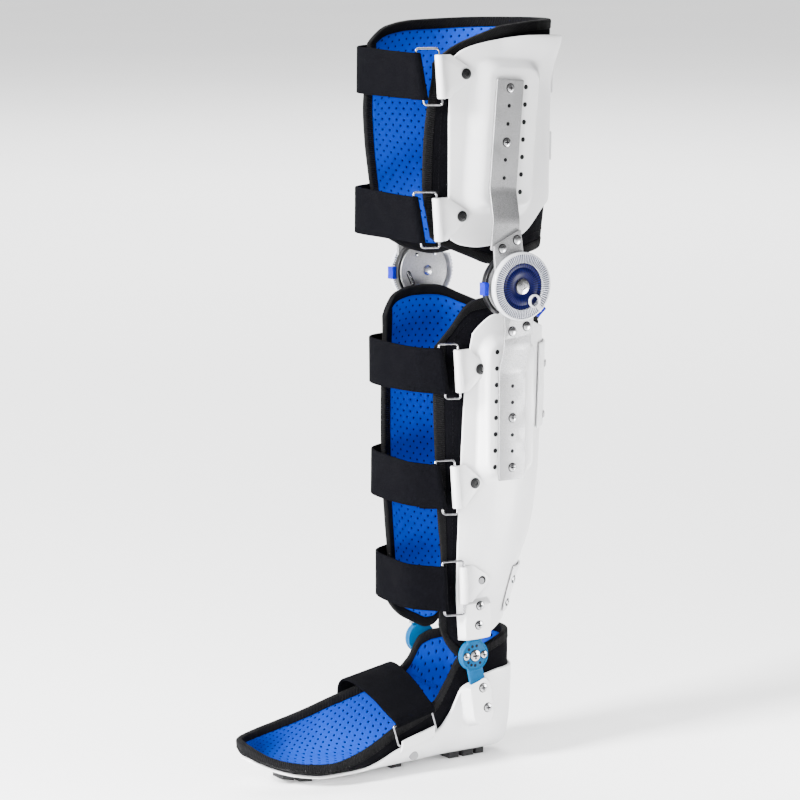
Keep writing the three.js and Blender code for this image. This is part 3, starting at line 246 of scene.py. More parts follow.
def pillow(
    place: Place,
    u: Array,
    v: Array,
    middle: float,
    half: float,
    rim: float,
    round_u: bool = True,
    shape_outer: Callable[[Array], Array] | None = None,
) -> Surface:
    """Thick sheet with a round rim: two offset surfaces that meet at the border.

    The half thickness grows from 0 at the border as a quarter circle, sqrt(1 - (1 - d/rim)^2) for a distance
    d from the border, up to its full value at the rim's width.

    Args:
        place: Point for u, v and an offset along the normal.
        u: Values of the first parameter.
        v: Values of the second parameter.
        middle: Offset of the sheet's middle.
        half: Half the sheet's thickness.
        rim: Width of the round rim.
        round_u: Whether the sheet also ends at the first and last u. If not, its rows there fold in half onto
            themselves, as at the heel and the toes of a bowl.
        shape_outer: Further change to the outer points, such as raised pads.

    Returns:
        The closed surface.
    """
    uu, vv = np.meshgrid(u, v, indexing="ij")
    core = place(uu, vv, np.full_like(uu, middle))
    along = lengths(core)
    across = lengths(core.swapaxes(0, 1)).T
    from_edge = np.minimum(across, across[:, -1:] - across)
    if round_u:
        from_edge = np.minimum(from_edge, np.minimum(along, along[-1:] - along))
    full = np.sqrt(1 - (1 - np.clip(from_edge / rim, 0, 1)) ** 2) * half
    outer = place(uu, vv, middle + full)
    if shape_outer:
        outer = shape_outer(outer)
    inner = place(uu, vv, middle - full)
    ends = [0, -1]
    inner[:, ends] = outer[:, ends]
    if round_u:
        inner[ends] = outer[ends]
    else:
        for face in (outer, inner):
            face[ends] = (face[ends] + face[ends, ::-1]) / 2
    rows, columns = along.mean(axis=1), across.mean(axis=0)
    front = grid(outer, rows, columns)
    back = grid(inner, rows, columns)
    return stacked([front, Surface(back.points, back.quads[:, ::-1], back.flat[:, ::-1])])


def swept(centres: Array, outward: Array, up: Array, profile: Array, closed: bool) -> Surface:
    """Carry a closed profile along a path.

    A point is the path's centre plus the profile's first number along outward and its second along up. An
    open path gets flat ends, where the profile shrinks to the centre.

    Args:
        centres: Path points, n by 3.
        outward: First direction at each path point.
        up: Second direction at each path point.
        profile: k by 2, or n by k by 2 where it changes along the path.
        closed: Whether the path is a loop.

    Returns:
        The closed surface.
    """
    shape = np.broadcast_to(profile, (len(centres), *profile.shape[-2:]))
    points = centres[:, None] + outward[:, None] * shape[..., :1] + up[:, None] * shape[..., 1:]
    if not closed:
        points = capped(points)
    path = lengths(points.mean(axis=1))
    if closed:
        path = np.append(path, path[-1] + np.linalg.norm(centres[0] - centres[-1]))
    middle = shape[len(shape) // 2]
    girth = lengths(np.append(middle, middle[:1], axis=0))
    return grid(points, path, girth, wrap_along=closed, wrap_across=True)


def round_profile(wide: float, tall: float, corner: float, steps: int = 3) -> Array:
    """Rectangle with round corners as points about its centre.

    Args:
        wide: Size along the first axis.
        tall: Size along the second axis.
        corner: Corner radius.
        steps: Steps in each corner.

    Returns:
        Points of the outline, k by 2.
    """
    turn = np.linspace(0, np.pi / 2, steps + 1)
    angle = np.arange(4)[:, None] * np.pi / 2 + turn
    sign_a, sign_b = np.array([(1, -1, -1, 1), (1, 1, -1, -1)])[..., None]
    a = sign_a * (wide / 2 - corner) + corner * np.cos(angle)
    b = sign_b * (tall / 2 - corner) + corner * np.sin(angle)
    return np.stack([a.ravel(), b.ravel()], -1)


def lathe(y: float, z: float, profile: Array, turns: int, ripple: Ripple | None = None) -> Surface:
    """Turn a closed profile of radius and X about an axis along X.

    Args:
        y: The axis's Y.
        z: The axis's Z.
        profile: Closed outline as k rows of radius and X.
        turns: Steps round the axis.
        ripple: Change of radius and X at each angle, such as ribs.

    Returns:
        The closed surface.
    """
    angle = (np.arange(turns) * 2 * np.pi / turns)[:, None]
    radius, x = (np.broadcast_to(values, (turns, len(profile))) for values in profile.T)
    if ripple:
        radius, x = ripple(angle, radius, x)
    points = np.stack([x, y + radius * np.cos(angle), z + radius * np.sin(angle)], -1)
    around = np.arange(turns + 1) * 2 * np.pi / turns * profile[:, 0].max()
    girth = lengths(np.append(profile, profile[:1], axis=0))
    return grid(points, around, girth, wrap_along=True, wrap_across=True)


def star_radius(angle: Array, outline: Array, disc: float) -> Array:
    """Distance from the origin to the edge of a disc joined with an outline, at each angle.

    Args:
        angle: Directions from the origin.
        outline: Corners of a closed outline about the origin, k by 2.
        disc: Radius of the disc.

    Returns:
        The larger of the disc's radius and the outline's distance.
    """
    start, end = outline, np.roll(outline, -1, axis=0)
    ray = np.stack([np.cos(angle), np.sin(angle)], -1)[:, None]
    edge = (end - start)[None]
    cross = ray[..., 0] * edge[..., 1] - ray[..., 1] * edge[..., 0]
    safe = np.where(np.abs(cross) < 1e-9, 1e-9, cross)
    along = (start[None, :, 0] * edge[..., 1] - start[None, :, 1] * edge[..., 0]) / safe
    share = (start[None, :, 0] * ray[..., 1] - start[None, :, 1] * ray[..., 0]) / safe
    hit = (share >= -1e-6) & (share <= 1 + 1e-6) & (along > 0)
    return np.maximum(np.where(hit, along, 0).max(axis=1), disc)


def plate(
    y: float, z: float, outline: Array | None, disc: float, x0: float, x1: float, bevel: float = 0.5,
    turns: int = 96, soften: int = 0,
) -> Surface:
    """Flat plate across X with rounded edges: a disc, or a disc joined with an outline that it sees whole.

    In polar coordinates about (y, z) the plate runs at each angle from its middle to the outline's radius,
    over a quarter-round edge, and back on the other side.

    Args:
        y: Y of the middle.
        z: Z of the middle.
        outline: Corners in Y and Z, or None for a plain disc.
        disc: Radius of the disc.
        x0: Inner face.
        x1: Outer face.
        bevel: Radius of the edges.
        turns: Steps round the outline.
        soften: Steps over which corners are rounded.

    Returns:
        The closed surface.
    """
    angle = np.arange(turns) * 2 * np.pi / turns
    radius = np.full(turns, float(disc))
    if outline is not None:
        local = np.asarray(outline, float) - (y, z)
        corners = np.arctan2(local[:, 1], local[:, 0]) % (2 * np.pi)
        angle = np.sort(np.concatenate([angle, corners])) if not soften else angle
        radius = star_radius(angle, local, disc)
        if soften:
            padded = np.concatenate([radius[-soften:], radius, radius[:soften]])
            radius = np.convolve(padded, np.ones(2 * soften + 1) / (2 * soften + 1), "valid")
    turn = np.linspace(0, np.pi / 2, 4)
    inset = np.concatenate([bevel * (1 - np.sin(turn)), bevel * (1 - np.cos(turn))])
    x = np.concatenate([x1 - bevel * (1 - np.cos(turn)), x0 + bevel * (1 - np.sin(turn))])
    reach = np.pad(np.maximum(radius[:, None] - inset, 0), ((0, 0), (1, 1)))
    depth = np.concatenate([[x1], x, [x0]])
    cos, sin = np.cos(angle)[:, None], np.sin(angle)[:, None]
    points = np.stack([np.broadcast_to(depth, reach.shape), y + reach * cos, z + reach * sin], -1)
    around = np.append(angle, 2 * np.pi) * radius.mean()
    return grid(points, around, np.arange(len(depth)) * disc / 4, wrap_along=True)


@dataclass(frozen=True)
class Screw:
    """Domed screw or rivet head on a face, with a driver recess, a painted shadow ring under it and painted
    shade on the recess floor.
    """

    y: float
    z: float
    face: float
    radius: float
    tall: float
    recess: Recess = Recess.CROSS
    turns: int = 48
    sunk: float = 0.3

    def head(self) -> Surface:
        """Bright head.

        Its height over the face is tall * (1 - 0.45 (r/R)^2) inside the rim, less a pit where the recess is.

        Returns:
            The closed surface.
        """
        angle = np.arange(self.turns) * 2 * np.pi / self.turns
        share = np.array([0, 0.12, 0.24, 0.3, 0.36, 0.44, 0.52, 0.6, 0.66, 0.8, 0.92, 1, 1])
        a, r = np.meshgrid(angle, share, indexing="ij")
        across, along = np.abs(r * np.cos(a)), np.abs(r * np.sin(a))
        pit = np.zeros_like(r)
        if self.recess is Recess.CROSS:
            pit = ((np.minimum(across, along) < 0.16) & (r < 0.62)) * 0.5
        if self.recess is Recess.HEX:
            flats = np.maximum.reduce([np.abs(r * np.cos(a - k * np.pi / 3)) for k in range(3)])
            pit = (flats < 0.42) * 0.55
        height = self.tall * (1 - 0.45 * r**2 - pit)
        height[:, -1] = -self.sunk
        reach = self.radius * r
        points = np.stack([self.face + height, self.y + reach * np.cos(a), self.z + reach * np.sin(a)], -1)
        base = np.broadcast_to([self.face - self.sunk, self.y, self.z], points[:, :1].shape)
        points = np.concatenate([points, base], axis=1)
        across_map = np.append(share, 1.1) * self.radius
        return grid(points, np.append(angle, 2 * np.pi) * self.radius, across_map, wrap_along=True)

    def dark(self) -> list[Surface]:
        """Painted shade: a dark ring under the head for the shadow in the gap round it, and a dark sheet on
        the floor of a cross recess.

        Returns:
            The closed surfaces.
        """
        y, z, face = self.y, self.z, self.face
        # Painted shadow: a dark ring a little wider than the head, for the shade in the gap under it.
        parts = [plate(y, z, None, self.radius + 0.8, face - 0.4, face + 0.12, 0.1, 32)]
        if self.recess is Recess.CROSS:
            # Painted shade: a dark sheet on the floor of the cross recess.
            narrow, far = 0.17 * self.radius, 0.6 * self.radius
            quarter = np.array([(far, -narrow), (far, narrow), (narrow, narrow)])
            turn = np.array([(0.0, 1.0), (-1.0, 0.0)])
            corners = np.concatenate([quarter @ np.linalg.matrix_power(turn, k) for k in range(4)])
            floor = face + 0.54 * self.tall
            parts.append(plate(y, z, corners + (y, z), 0.1, floor - 0.4, floor, 0.05, 24))
        return parts


def screw_parts(screws: list[Screw]) -> tuple[list[Surface], list[Surface]]:
    """Return the heads of screws, and their painted shade: shadow rings under them and dark recess floors."""
    return [screw.head() for screw in screws], [part for screw in screws for part in screw.dark()]


def beside(path: Array) -> Array:
    """Return the directions to the left of a flat path at its points."""
    tangent = unit(np.gradient(path, axis=0))
    return np.stack([-tangent[:, 1], tangent[:, 0]], -1)


def seated(part: Surface, spot: Array, normal: Array) -> Surface:
    """Move a part built at the origin on the plane X = 0 to a place on a surface.

    Args:
        part: The part, which stands up along +X.
        spot: Place on the surface.
        normal: Direction out of the surface.

    Returns:
        The part with its X along the normal.
    """
    out = unit(normal)
    side = unit(np.cross([0.0, 0.0, 1.0], out))
    axes = np.stack([out, side, np.cross(out, side)])
    return Surface(spot + part.points @ axes, part.quads, part.flat)


def tube(path: Array, radius: float, sides: int = 12) -> Surface:
    """Round wire along a closed path in one plane.

    Args:
        path: Points of the loop, n by 3.
        radius: Radius of the wire.
        sides: Sides of its section.

    Returns:
        The closed surface.
    """
    tangent = unit(np.roll(path, -1, axis=0) - np.roll(path, 1, axis=0))
    normal = unit(np.cross(path[1] - path[0], path[len(path) // 3] - path[0]))
    normal = np.broadcast_to(normal, path.shape)
    angle = np.arange(sides) * 2 * np.pi / sides
    profile = radius * np.stack([np.cos(angle), np.sin(angle)], -1)
    return swept(path, np.cross(tangent, normal), normal, profile, closed=True)


def rounded_loop(corners: Array, radius: float, steps: int = 8) -> Array:
    """Round off the corners of a closed loop with quadratic curves.

    With t from 0 to 1, a corner c becomes (1-t)^2 a + 2 t (1-t) c + t^2 b, where a and b are the points at
    the radius from c along its two edges.

    Args:
        corners: Corners of the loop, k by 3.
        radius: Distance from the corner at which the rounding starts.
        steps: Steps in each corner.

    Returns:
        Points of the rounded loop.
    """
    a, b = (corners + radius * unit(np.roll(corners, step, axis=0) - corners) for step in (1, -1))
    t = np.linspace(0, 1, steps + 1)[None, :, None]
    curve = (1 - t) ** 2 * a[:, None] + 2 * t * (1 - t) * corners[:, None] + t**2 * b[:, None]
    return curve.reshape(-1, 3)


def stitches(path: Array, normal: Array, pitch: float, long: float, thick: float) -> Surface:
    """Run of stitches along a path: stretched balls, half sunk into the cloth.

    A stitch's point is its centre plus cos(b) of its half length along the path and sin(b) of its radius
    round it, with b from 0 to pi.

    Args:
        path: Points of the run, n by 3.
        normal: Outward direction at each point.
        pitch: Distance from stitch to stitch.
        long: Length of a stitch.
        thick: Radius of the thread.

    Returns:
        The closed surfaces of all the stitches.
    """
    run = lengths(path)
    spots = np.arange(pitch, run[-1] - pitch, pitch)
    ahead = unit(sampled(spots, run, np.gradient(path, axis=0)))
    side = unit(np.cross(ahead, sampled(spots, run, normal)))
    vectors = (sampled(spots, run, path), ahead, side, np.cross(side, ahead))
    centre, ahead, side, out = (values[:, None, None] for values in vectors)
    rings, sides = 5, 6
    b = np.linspace(0, np.pi, rings)[None, :, None, None]
    a = (np.arange(sides) * 2 * np.pi / sides)[None, None, :, None]
    points = (
        centre
        + ahead * np.cos(b) * long / 2
        + np.sin(b) * thick * (side * np.cos(a) + out * np.sin(a))
    )
    count = len(spots)
    one = grid(points[0], np.arange(float(rings)), np.arange(sides + 1.0), wrap_across=True).outward()
    quads = one.quads[None] + (np.arange(count) * rings * sides)[:, None, None]
    flat = np.broadcast_to(one.flat, (count, *one.flat.shape))
    return Surface(points.reshape(-1, 3), quads.reshape(-1, 4), flat.reshape(-1, 4, 2))


# Measured curves.


def folded_tape(border: Border, shift: float, tip: float, fold: float) -> Surface:
    """Tape folded round a padded edge: a flat C in section, carried round the border.

    The fold lies at a distance of tip - fold * cos(a)^0.8 from the edge, with a from -90 to 90 degrees.

    Args:
        border: Points round the border for distances from the edge and offsets.
        shift: Offset of the padding's inner face.
        tip: Distance from the edge at which the fold starts.
        fold: How far the fold reaches out from there.

    Returns:
        The closed tape.
    """
    turn = np.linspace(-np.pi / 2, np.pi / 2, 9)
    bulge = LINER_OUT / 2 + 0.4
    bend = np.stack([tip - fold * np.cos(turn) ** 0.8, LINER_OUT / 2 + bulge * np.sin(turn)], -1)
    inner = [(BINDING, 0.4), (BINDING - 0.3, -0.3), (6, -0.4)]
    outer = [(6, LINER_OUT + 0.4), (BINDING - 0.3, LINER_OUT + 0.3), (BINDING, LINER_OUT - 0.4)]
    profile = np.concatenate([inner, bend, outer]) + (0, shift)
    points = border(profile[:, 0], profile[:, 1])
    middle = points[:, 6]
    run = lengths(np.append(middle, middle[:1], axis=0))
    girth = lengths(np.append(profile, profile[:1], axis=0))
    return grid(points, run, girth, wrap_along=True, wrap_across=True)


def hem_stitches(border: Border, rows: Rows) -> list[Surface]:
    """Rows of stitches along a border.

    Args:
        border: Points round the border for distances from the edge and offsets.
        rows: Distance from the edge, offset, and 1 or -1 for the side that faces out.

    Returns:
        The closed stitches of each row.
    """
    runs = []
    for inset, offset, out in rows:
        line, above = (border(np.array([inset]), np.array([at]))[:, 0] for at in (offset, offset + out))
        runs.append(stitches(line, above - line, *HEM_STITCH))
    return runs


@dataclass(frozen=True)
class Column:
    """Values at rising keys, joined by a monotone cubic."""

    keys: tuple[float, ...]
    values: tuple[float, ...]
    level_ends: bool = False

    def at(self, spot: Array) -> Array:
        """Value at each spot, held beyond the ends.

        Args:
            spot: Places along the keys.

        Returns:
            The curve's values.
        """
        keys, values = np.array(self.keys, float), np.array(self.values, float)
        slope = np.diff(values) / np.diff(keys)
        product = slope[:-1] * slope[1:]
        total = np.where(product > 0, slope[:-1] + slope[1:], 1)
        inner = np.where(product > 0, 2 * product / total, 0)
        ends = [0.0, 0.0] if self.level_ends else [slope[0], slope[-1]]
        tangent = np.concatenate([ends[:1], inner, ends[1:]])
        i = np.clip(np.searchsorted(keys, spot, side="right") - 1, 0, len(keys) - 2)
        span = keys[i + 1] - keys[i]
        t = np.clip((spot - keys[i]) / span, 0, 1)
        start = values[i] * (1 + 2 * t) + tangent[i] * span * t
        end = values[i + 1] * (3 - 2 * t) - tangent[i + 1] * span * (1 - t)
        return start * (1 - t) ** 2 + end * t * t


def columns(rows: Rows) -> list[Column]:
    """Split a table into one curve for each column after the first, over the first.

    Args:
        rows: Rows of the table, with rising first numbers.

    Returns:
        The curves.
    """
    keys, *rest = zip(*rows)
    return [Column(keys, values) for values in rest]


def edge_levels(edges: Rows, v: Array) -> Array:
    """Return heights from the lowest to the highest place of a wall's lower and upper edges."""
    bottom, top = columns(edges)
    return min(bottom.values) + (max(top.values) - min(bottom.values)) * v


def edge_heights(edges: Rows, girth: Array, v: Array) -> Array:
    """Return heights from the lower to the upper edge of a wall at each girth."""
    low, high = (column.at(girth) for column in columns(edges))
    return low + (high - low) * v


def catmull(corners: Array, steps: int) -> Array:
    """Centripetal Catmull-Rom curve through points.

    Args:
        corners: Points to pass, n by d.
        steps: Steps between two points.

    Returns:
        Points along the curve.
    """
    ends = np.concatenate([[2 * corners[0] - corners[1]], corners, [2 * corners[-1] - corners[-2]]])
    p0, p1, p2, p3 = (ends[k : len(ends) - 3 + k, None] for k in range(4))
    gaps = (np.linalg.norm(b - a, axis=-1, keepdims=True) for a, b in ((p0, p1), (p1, p2), (p2, p3)))
    d0, d1, d2 = (np.maximum(np.sqrt(gap), 1e-4) for gap in gaps)
    t1 = ((p1 - p0) / d0 - (p2 - p0) / (d0 + d1) + (p2 - p1) / d1) * d1
    t2 = ((p2 - p1) / d1 - (p3 - p1) / (d1 + d2) + (p3 - p2) / d2) * d1
    t = np.linspace(0, 1, steps, endpoint=False)[None, :, None]
    curve = p1 + t1 * t + (3 * (p2 - p1) - 2 * t1 - t2) * t**2 + (2 * (p1 - p2) + t1 + t2) * t**3
    return np.concatenate([curve.reshape(-1, corners.shape[1]), corners[-1:]])


def evenly(path: Array, count: int) -> Array:
    """Place points at even distances along a path.

    Args:
        path: Points of the path.
        count: Number of points wanted.

    Returns:
        The evenly spaced points.
    """
    run = lengths(path)
    return sampled(np.linspace(0, run[-1], count), run, path)


# Finishes.


class Graph:
    """Short way to add and link the nodes of one material or world."""

    def __init__(self, owner: bpy.types.Material | bpy.types.World) -> None:
        """Start from an empty node tree."""
        owner.use_nodes = True
        self.tree = owner.node_tree
        self.tree.nodes.clear()

    def add(self, kind: str, inputs: dict | None = None, **settings: str) -> bpy.types.Node:
        """Add a node.

        Args:
            kind: Node type.
            inputs: Socket name or number to a value, or to the output of another node.
            **settings: Properties of the node.

        Returns:
            The node.
        """
        node = self.tree.nodes.new(kind)
        for key, value in settings.items():
            setattr(node, key, value)
        for key, value in (inputs or {}).items():
            if isinstance(value, Socket):
                self.tree.links.new(value, node.inputs[key])
            else:
                node.inputs[key].default_value = value
        return node

    def math(self, operation: str, a: Value, b: Value = 0.0) -> Socket:
        """Return the result of a math node on two sockets or numbers."""
        return self.add("ShaderNodeMath", {0: a, 1: b}, operation=operation).outputs[0]

    def noise(self, coordinates: Socket, scale: float, detail: float = 3.0) -> Socket:
        """Return a noise texture's value over some coordinates."""
        inputs = {"Vector": coordinates, "Scale": scale, "Detail": detail}
        return self.add("ShaderNodeTexNoise", inputs).outputs["Fac"]

    def between(
        self, factor: Socket, low: float, high: float, start: float = 0.0, end: float = 1.0
    ) -> Socket:
        """Return a factor's smooth step from low to high, as a value from start to end."""
        inputs = {"Value": factor, 1: low, 2: high, 3: start, 4: end}
        return self.add("ShaderNodeMapRange", inputs, interpolation_type="SMOOTHSTEP").outputs[0]

    def mix(self, factor: Socket, a: tuple[float, ...], b: tuple[float, ...]) -> Socket:
        """Return a colour between two colours."""
        return self.add("ShaderNodeMix", {0: factor, 6: a, 7: b}, data_type="RGBA").outputs[2]


@dataclass(frozen=True)
class Finish:
    """A procedural finish: two close colours, a pattern in relief, and the shader's own numbers."""

    name: str
    colour: Colour
    shade: Colour
    pattern: Pattern = Pattern.GRAIN
    roughness: tuple[float, float] = (0.35, 0.5)
    grain: float = 900.0
    relief: float = 0.1
    depth: float = 0.0002
    metallic: float = 0.0
    coat: float = 0.0
    clear: float = 0.0
    shine: float = 0.5
    pitch: float = 0.0019

    def material(self) -> bpy.types.Material:
        """Make the material, or find it if it was made before.

        Returns:
            The material.
        """
        known = bpy.data.materials.get(self.name)
        if known:
            return known
        made = bpy.data.materials.new(self.name)
        graph = Graph(made)
        where = graph.add("ShaderNodeTexCoord").outputs["Object"]
        flat = graph.add("ShaderNodeUVMap", uv_map=FLAT_MAP).outputs["UV"]
        shade, height = self.fields(graph, where, flat)
        wear = graph.noise(where, 60.0)
        rough = graph.between(wear, 0.3, 0.7, *self.roughness)
        bump = graph.add(
            "ShaderNodeBump", {"Strength": self.relief, "Distance": self.depth, "Height": height}
        )
        shader = graph.add(
            "ShaderNodeBsdfPrincipled",
            {
                "Base Color": graph.mix(shade, (*self.colour, 1), (*self.shade, 1)),
                "Roughness": rough,
                "Normal": bump.outputs[0],
                "Metallic": self.metallic,
                "Specular IOR Level": self.shine,
                "Coat Weight": self.coat,
                "Transmission Weight": self.clear,
                "IOR": 1.49,
            },
        )
        graph.add("ShaderNodeOutputMaterial", {"Surface": shader.outputs[0]})
        return made

    def fields(self, graph: Graph, where: Socket, flat: Socket) -> tuple[Socket, Socket]:
        """Build the pattern.

        Args:
            graph: The material's nodes.
            where: Coordinates in space.
            flat: Coordinates on the flat piece, in metres.

        Returns:
            Share of the second colour, and height of the relief.
        """
        fine = graph.noise(where, self.grain, 4.0)
        if self.pattern is Pattern.GRAIN:
            return graph.between(graph.noise(where, 14.0), 0.25, 0.75), fine
        if self.pattern is Pattern.GRIT:
            return graph.between(fine, 0.35, 0.7), fine
        split = graph.add("ShaderNodeSeparateXYZ", {0: flat})
        along, across = split.outputs[0], split.outputs[1]
        line = graph.math("SINE", graph.math("MULTIPLY", along, 2 * math.pi / self.pitch))
        # Rays, one line per rib: painted highlights and shade of fine radial ribs.
        if self.pattern is Pattern.RAYS:
            return graph.between(line, -0.2, 0.7), fine
        # Ribbed: lighter on the rib crests and darker in the grooves, with the relief: painted highlight and
        # shade of the ribs.
        if self.pattern is Pattern.RIBBED:
            return graph.between(line, -0.6, 1.0), graph.math("ADD", line, fine)
        if self.pattern is Pattern.KNIT:
            weft = graph.math("SINE", graph.math("MULTIPLY", across, 2 * math.pi / self.pitch))
            weave = graph.math("MULTIPLY", line, weft)
            half = graph.math("MULTIPLY", weave, 0.5)
            fuzz = graph.math("ADD", half, graph.math("MULTIPLY", fine, 2.0))
            return graph.between(fine, 0.38, 0.66), fuzz
        return self.holes(graph, along, across, fine)

    def holes(self, graph: Graph, along: Socket, across: Socket, fine: Socket) -> tuple[Socket, Socket]:
        """Staggered rows of small round holes.

        Args:
            graph: The material's nodes.
            along: Flat coordinate round the leg, in metres.
            across: Flat coordinate up the leg, in metres.
            fine: Fine noise for the cloth between the holes.

        Returns:
            Share of the dark colour, and height of the relief.
        """
        pitch, row = 9.5 * MM, 6.0 * MM
        up = graph.math("DIVIDE", across, row)
        odd = graph.math("MODULO", graph.math("FLOOR", up), 2.0)
        shift = graph.math("MULTIPLY", odd, 0.5)
        round_ = graph.math("ADD", graph.math("DIVIDE", along, pitch), shift)
        squares = []
        for count, step in ((round_, pitch), (up, row)):
            share = graph.math("SUBTRACT", graph.math("FRACT", count), 0.5)
            away = graph.math("ABSOLUTE", graph.math("MULTIPLY", share, step / MM))
            squares.append(graph.math("POWER", away, 2.0))
        away = graph.math("SQRT", graph.math("ADD", *squares))
        inside = graph.between(away, 0.95, 1.25, 1.0, 0.0)
        dip = graph.math("MULTIPLY", graph.between(away, 0.8, 1.8), 2.0)
        return inside, graph.math("ADD", dip, graph.math("MULTIPLY", fine, 0.4))


LINING_BLUE = Finish(
    "blue perforated lining", (0.0007, 0.038, 0.36), (0.0003, 0.001, 0.008), Pattern.PERFORATED, (0.6, 0.75),
    grain=1800, relief=0.7, depth=0.0005, shine=0.05,
)
PADDING = Finish(
    "black padded cloth", (0.0009, 0.0009, 0.0014), (0.0026, 0.0026, 0.0038), Pattern.KNIT, (0.8, 0.95),
    grain=1300, relief=0.6, depth=0.0005, shine=0.03, pitch=0.0015,
)
# Its two tones follow the ribs: painted highlight on the crests and painted shade in the grooves.
TAPE = Finish(
    "black binding tape", (0.0012, 0.0012, 0.0015), (0.0045, 0.0045, 0.005), Pattern.RIBBED, (0.6, 0.8),
    grain=1700, relief=0.8, depth=0.0005, shine=0.06,
)
WEBBING = Finish(
    "black loop webbing", (0.0003, 0.0003, 0.0006), (0.0032, 0.0033, 0.0045), Pattern.KNIT, (0.85, 0.97),
    grain=1500, relief=0.8, depth=0.0006, shine=0.02, pitch=0.0014,
)
THREAD = Finish(
    "black thread", (0.0012, 0.0012, 0.0016), (0.003, 0.003, 0.004), Pattern.GRIT, (0.5, 0.7),
    grain=2600, shine=0.03,
)
BLUE_THREAD = Finish(
    "blue thread", (0.001, 0.02, 0.2), (0.002, 0.04, 0.3), Pattern.GRIT, (0.5, 0.7), grain=2600, shine=0.15,
)
WHITE = Finish(
    "white plastic", (0.66, 0.66, 0.665), (0.6, 0.6, 0.61), Pattern.GRAIN, (0.3, 0.42), grain=700,
    relief=0.06, coat=0.1,
)
FROSTED = Finish(
    "frosted plastic", (0.2, 0.2, 0.205), (0.14, 0.14, 0.145), Pattern.GRAIN, (0.4, 0.55), grain=900,
    relief=0.08,
)
SATIN_STEEL = Finish(
    "satin steel", (0.36, 0.36, 0.365), (0.16, 0.16, 0.165), Pattern.GRIT, (0.38, 0.52), grain=1500,
    relief=0.35, metallic=0.8,
)
BRIGHT_STEEL = Finish(
    "bright steel", (0.5, 0.5, 0.51), (0.3, 0.3, 0.31), Pattern.GRIT, (0.16, 0.3), grain=500,
    relief=0.1, metallic=1.0,
)
CHROME = Finish(
    "chrome wire", (0.3, 0.3, 0.31), (0.18, 0.18, 0.19), Pattern.GRIT, (0.08, 0.18), grain=400,
    relief=0.05, metallic=1.0,
)
CYAN = Finish(
    "cyan alloy", (0.0, 0.06, 0.16), (0.0, 0.048, 0.13), Pattern.GRIT, (0.35, 0.5), grain=1300,
    relief=0.12, shine=0.05,
)
# Its two tones alternate rib by rib: painted highlights and painted dark gaps of the clear ribs.
CLEAR = Finish(
    "clear ribbed plastic", (0.6, 0.62, 0.7), (0.006, 0.007, 0.025), Pattern.RAYS, (0.05, 0.14), grain=300,
    relief=0.04, clear=0.3, pitch=2 * math.pi * DIAL_RADIUS * MM / DIAL_RIBS,
)
RIM = Finish(
    "clear smooth plastic", (0.74, 0.75, 0.78), (0.62, 0.63, 0.68), Pattern.GRAIN, (0.05, 0.14), grain=300,
    relief=0.04, clear=0.3,
)
# Its lighter radial lines are painted highlights of fine ribs that the disc's shape does not have.
NAVY = Finish(
    "navy plastic", (0.0006, 0.0008, 0.016), (0.004, 0.005, 0.05), Pattern.RAYS, (0.25, 0.4), grain=800,
    relief=0.08, shine=0.08, pitch=2 * math.pi * DISC_RADIUS * MM / DISC_RAYS,
)
VIVID_BLUE = Finish(
    "blue plastic", (0.0006, 0.003, 0.26), (0.0005, 0.002, 0.2), Pattern.GRAIN, (0.3, 0.45), grain=600,
    relief=0.06, shine=0.08,
)
BLACK = Finish(
    "black plastic", (0.002, 0.002, 0.0025), (0.004, 0.004, 0.0045), Pattern.GRAIN, (0.3, 0.45), grain=800,
    relief=0.08, shine=0.3,
)
# Dark finish for holes, and for painted shade: shadow rings under screw heads and the floors of screw
# recesses.
HOLE_AND_PAINTED_SHADE = Finish(
    "dark holes and painted shade", (0.003, 0.003, 0.0035), (0.006, 0.006, 0.0065), Pattern.GRAIN, (0.6, 0.8),
    grain=900, shine=0.1,
)
RUBBER = Finish(
    "dark rubber", (0.008, 0.008, 0.0085), (0.015, 0.015, 0.0155), Pattern.GRAIN, (0.65, 0.85), grain=700,
    relief=0.3, shine=0.2,
)


@dataclass(frozen=True)
class Look:
    """A finish with the record's slot that it stands for."""

    finish: Finish
    slot: str


class Looks(Enum):
    """Finish and slot of every kind of piece."""

    LINING = Look(LINING_BLUE, "blue_lining")
    LINER = Look(PADDING, "black_liner")
    TAPE = Look(TAPE, "black_binding")
    WEBBING = Look(WEBBING, "black_webbing")
    THREAD = Look(THREAD, "black_binding")
    BLUE_THREAD = Look(BLUE_THREAD, "blue_lining")
    WHITE = Look(WHITE, "white_plastic")
    FROSTED = Look(FROSTED, "white_plastic")
    STEEL = Look(SATIN_STEEL, "satin_steel")
    BRIGHT = Look(BRIGHT_STEEL, "satin_steel")
    CHROME = Look(CHROME, "chrome_wire")
    CYAN = Look(CYAN, "cyan_alloy")
    CLEAR = Look(CLEAR, "clear_plastic")
    RIM = Look(RIM, "clear_plastic")
    NAVY = Look(NAVY, "navy_plastic")
    BLUE = Look(VIVID_BLUE, "blue_plastic")
    BLACK = Look(BLACK, "black_plastic")
    HOLE_AND_PAINTED_SHADE = Look(HOLE_AND_PAINTED_SHADE, "black_plastic")
    RUBBER = Look(RUBBER, "dark_rubber")


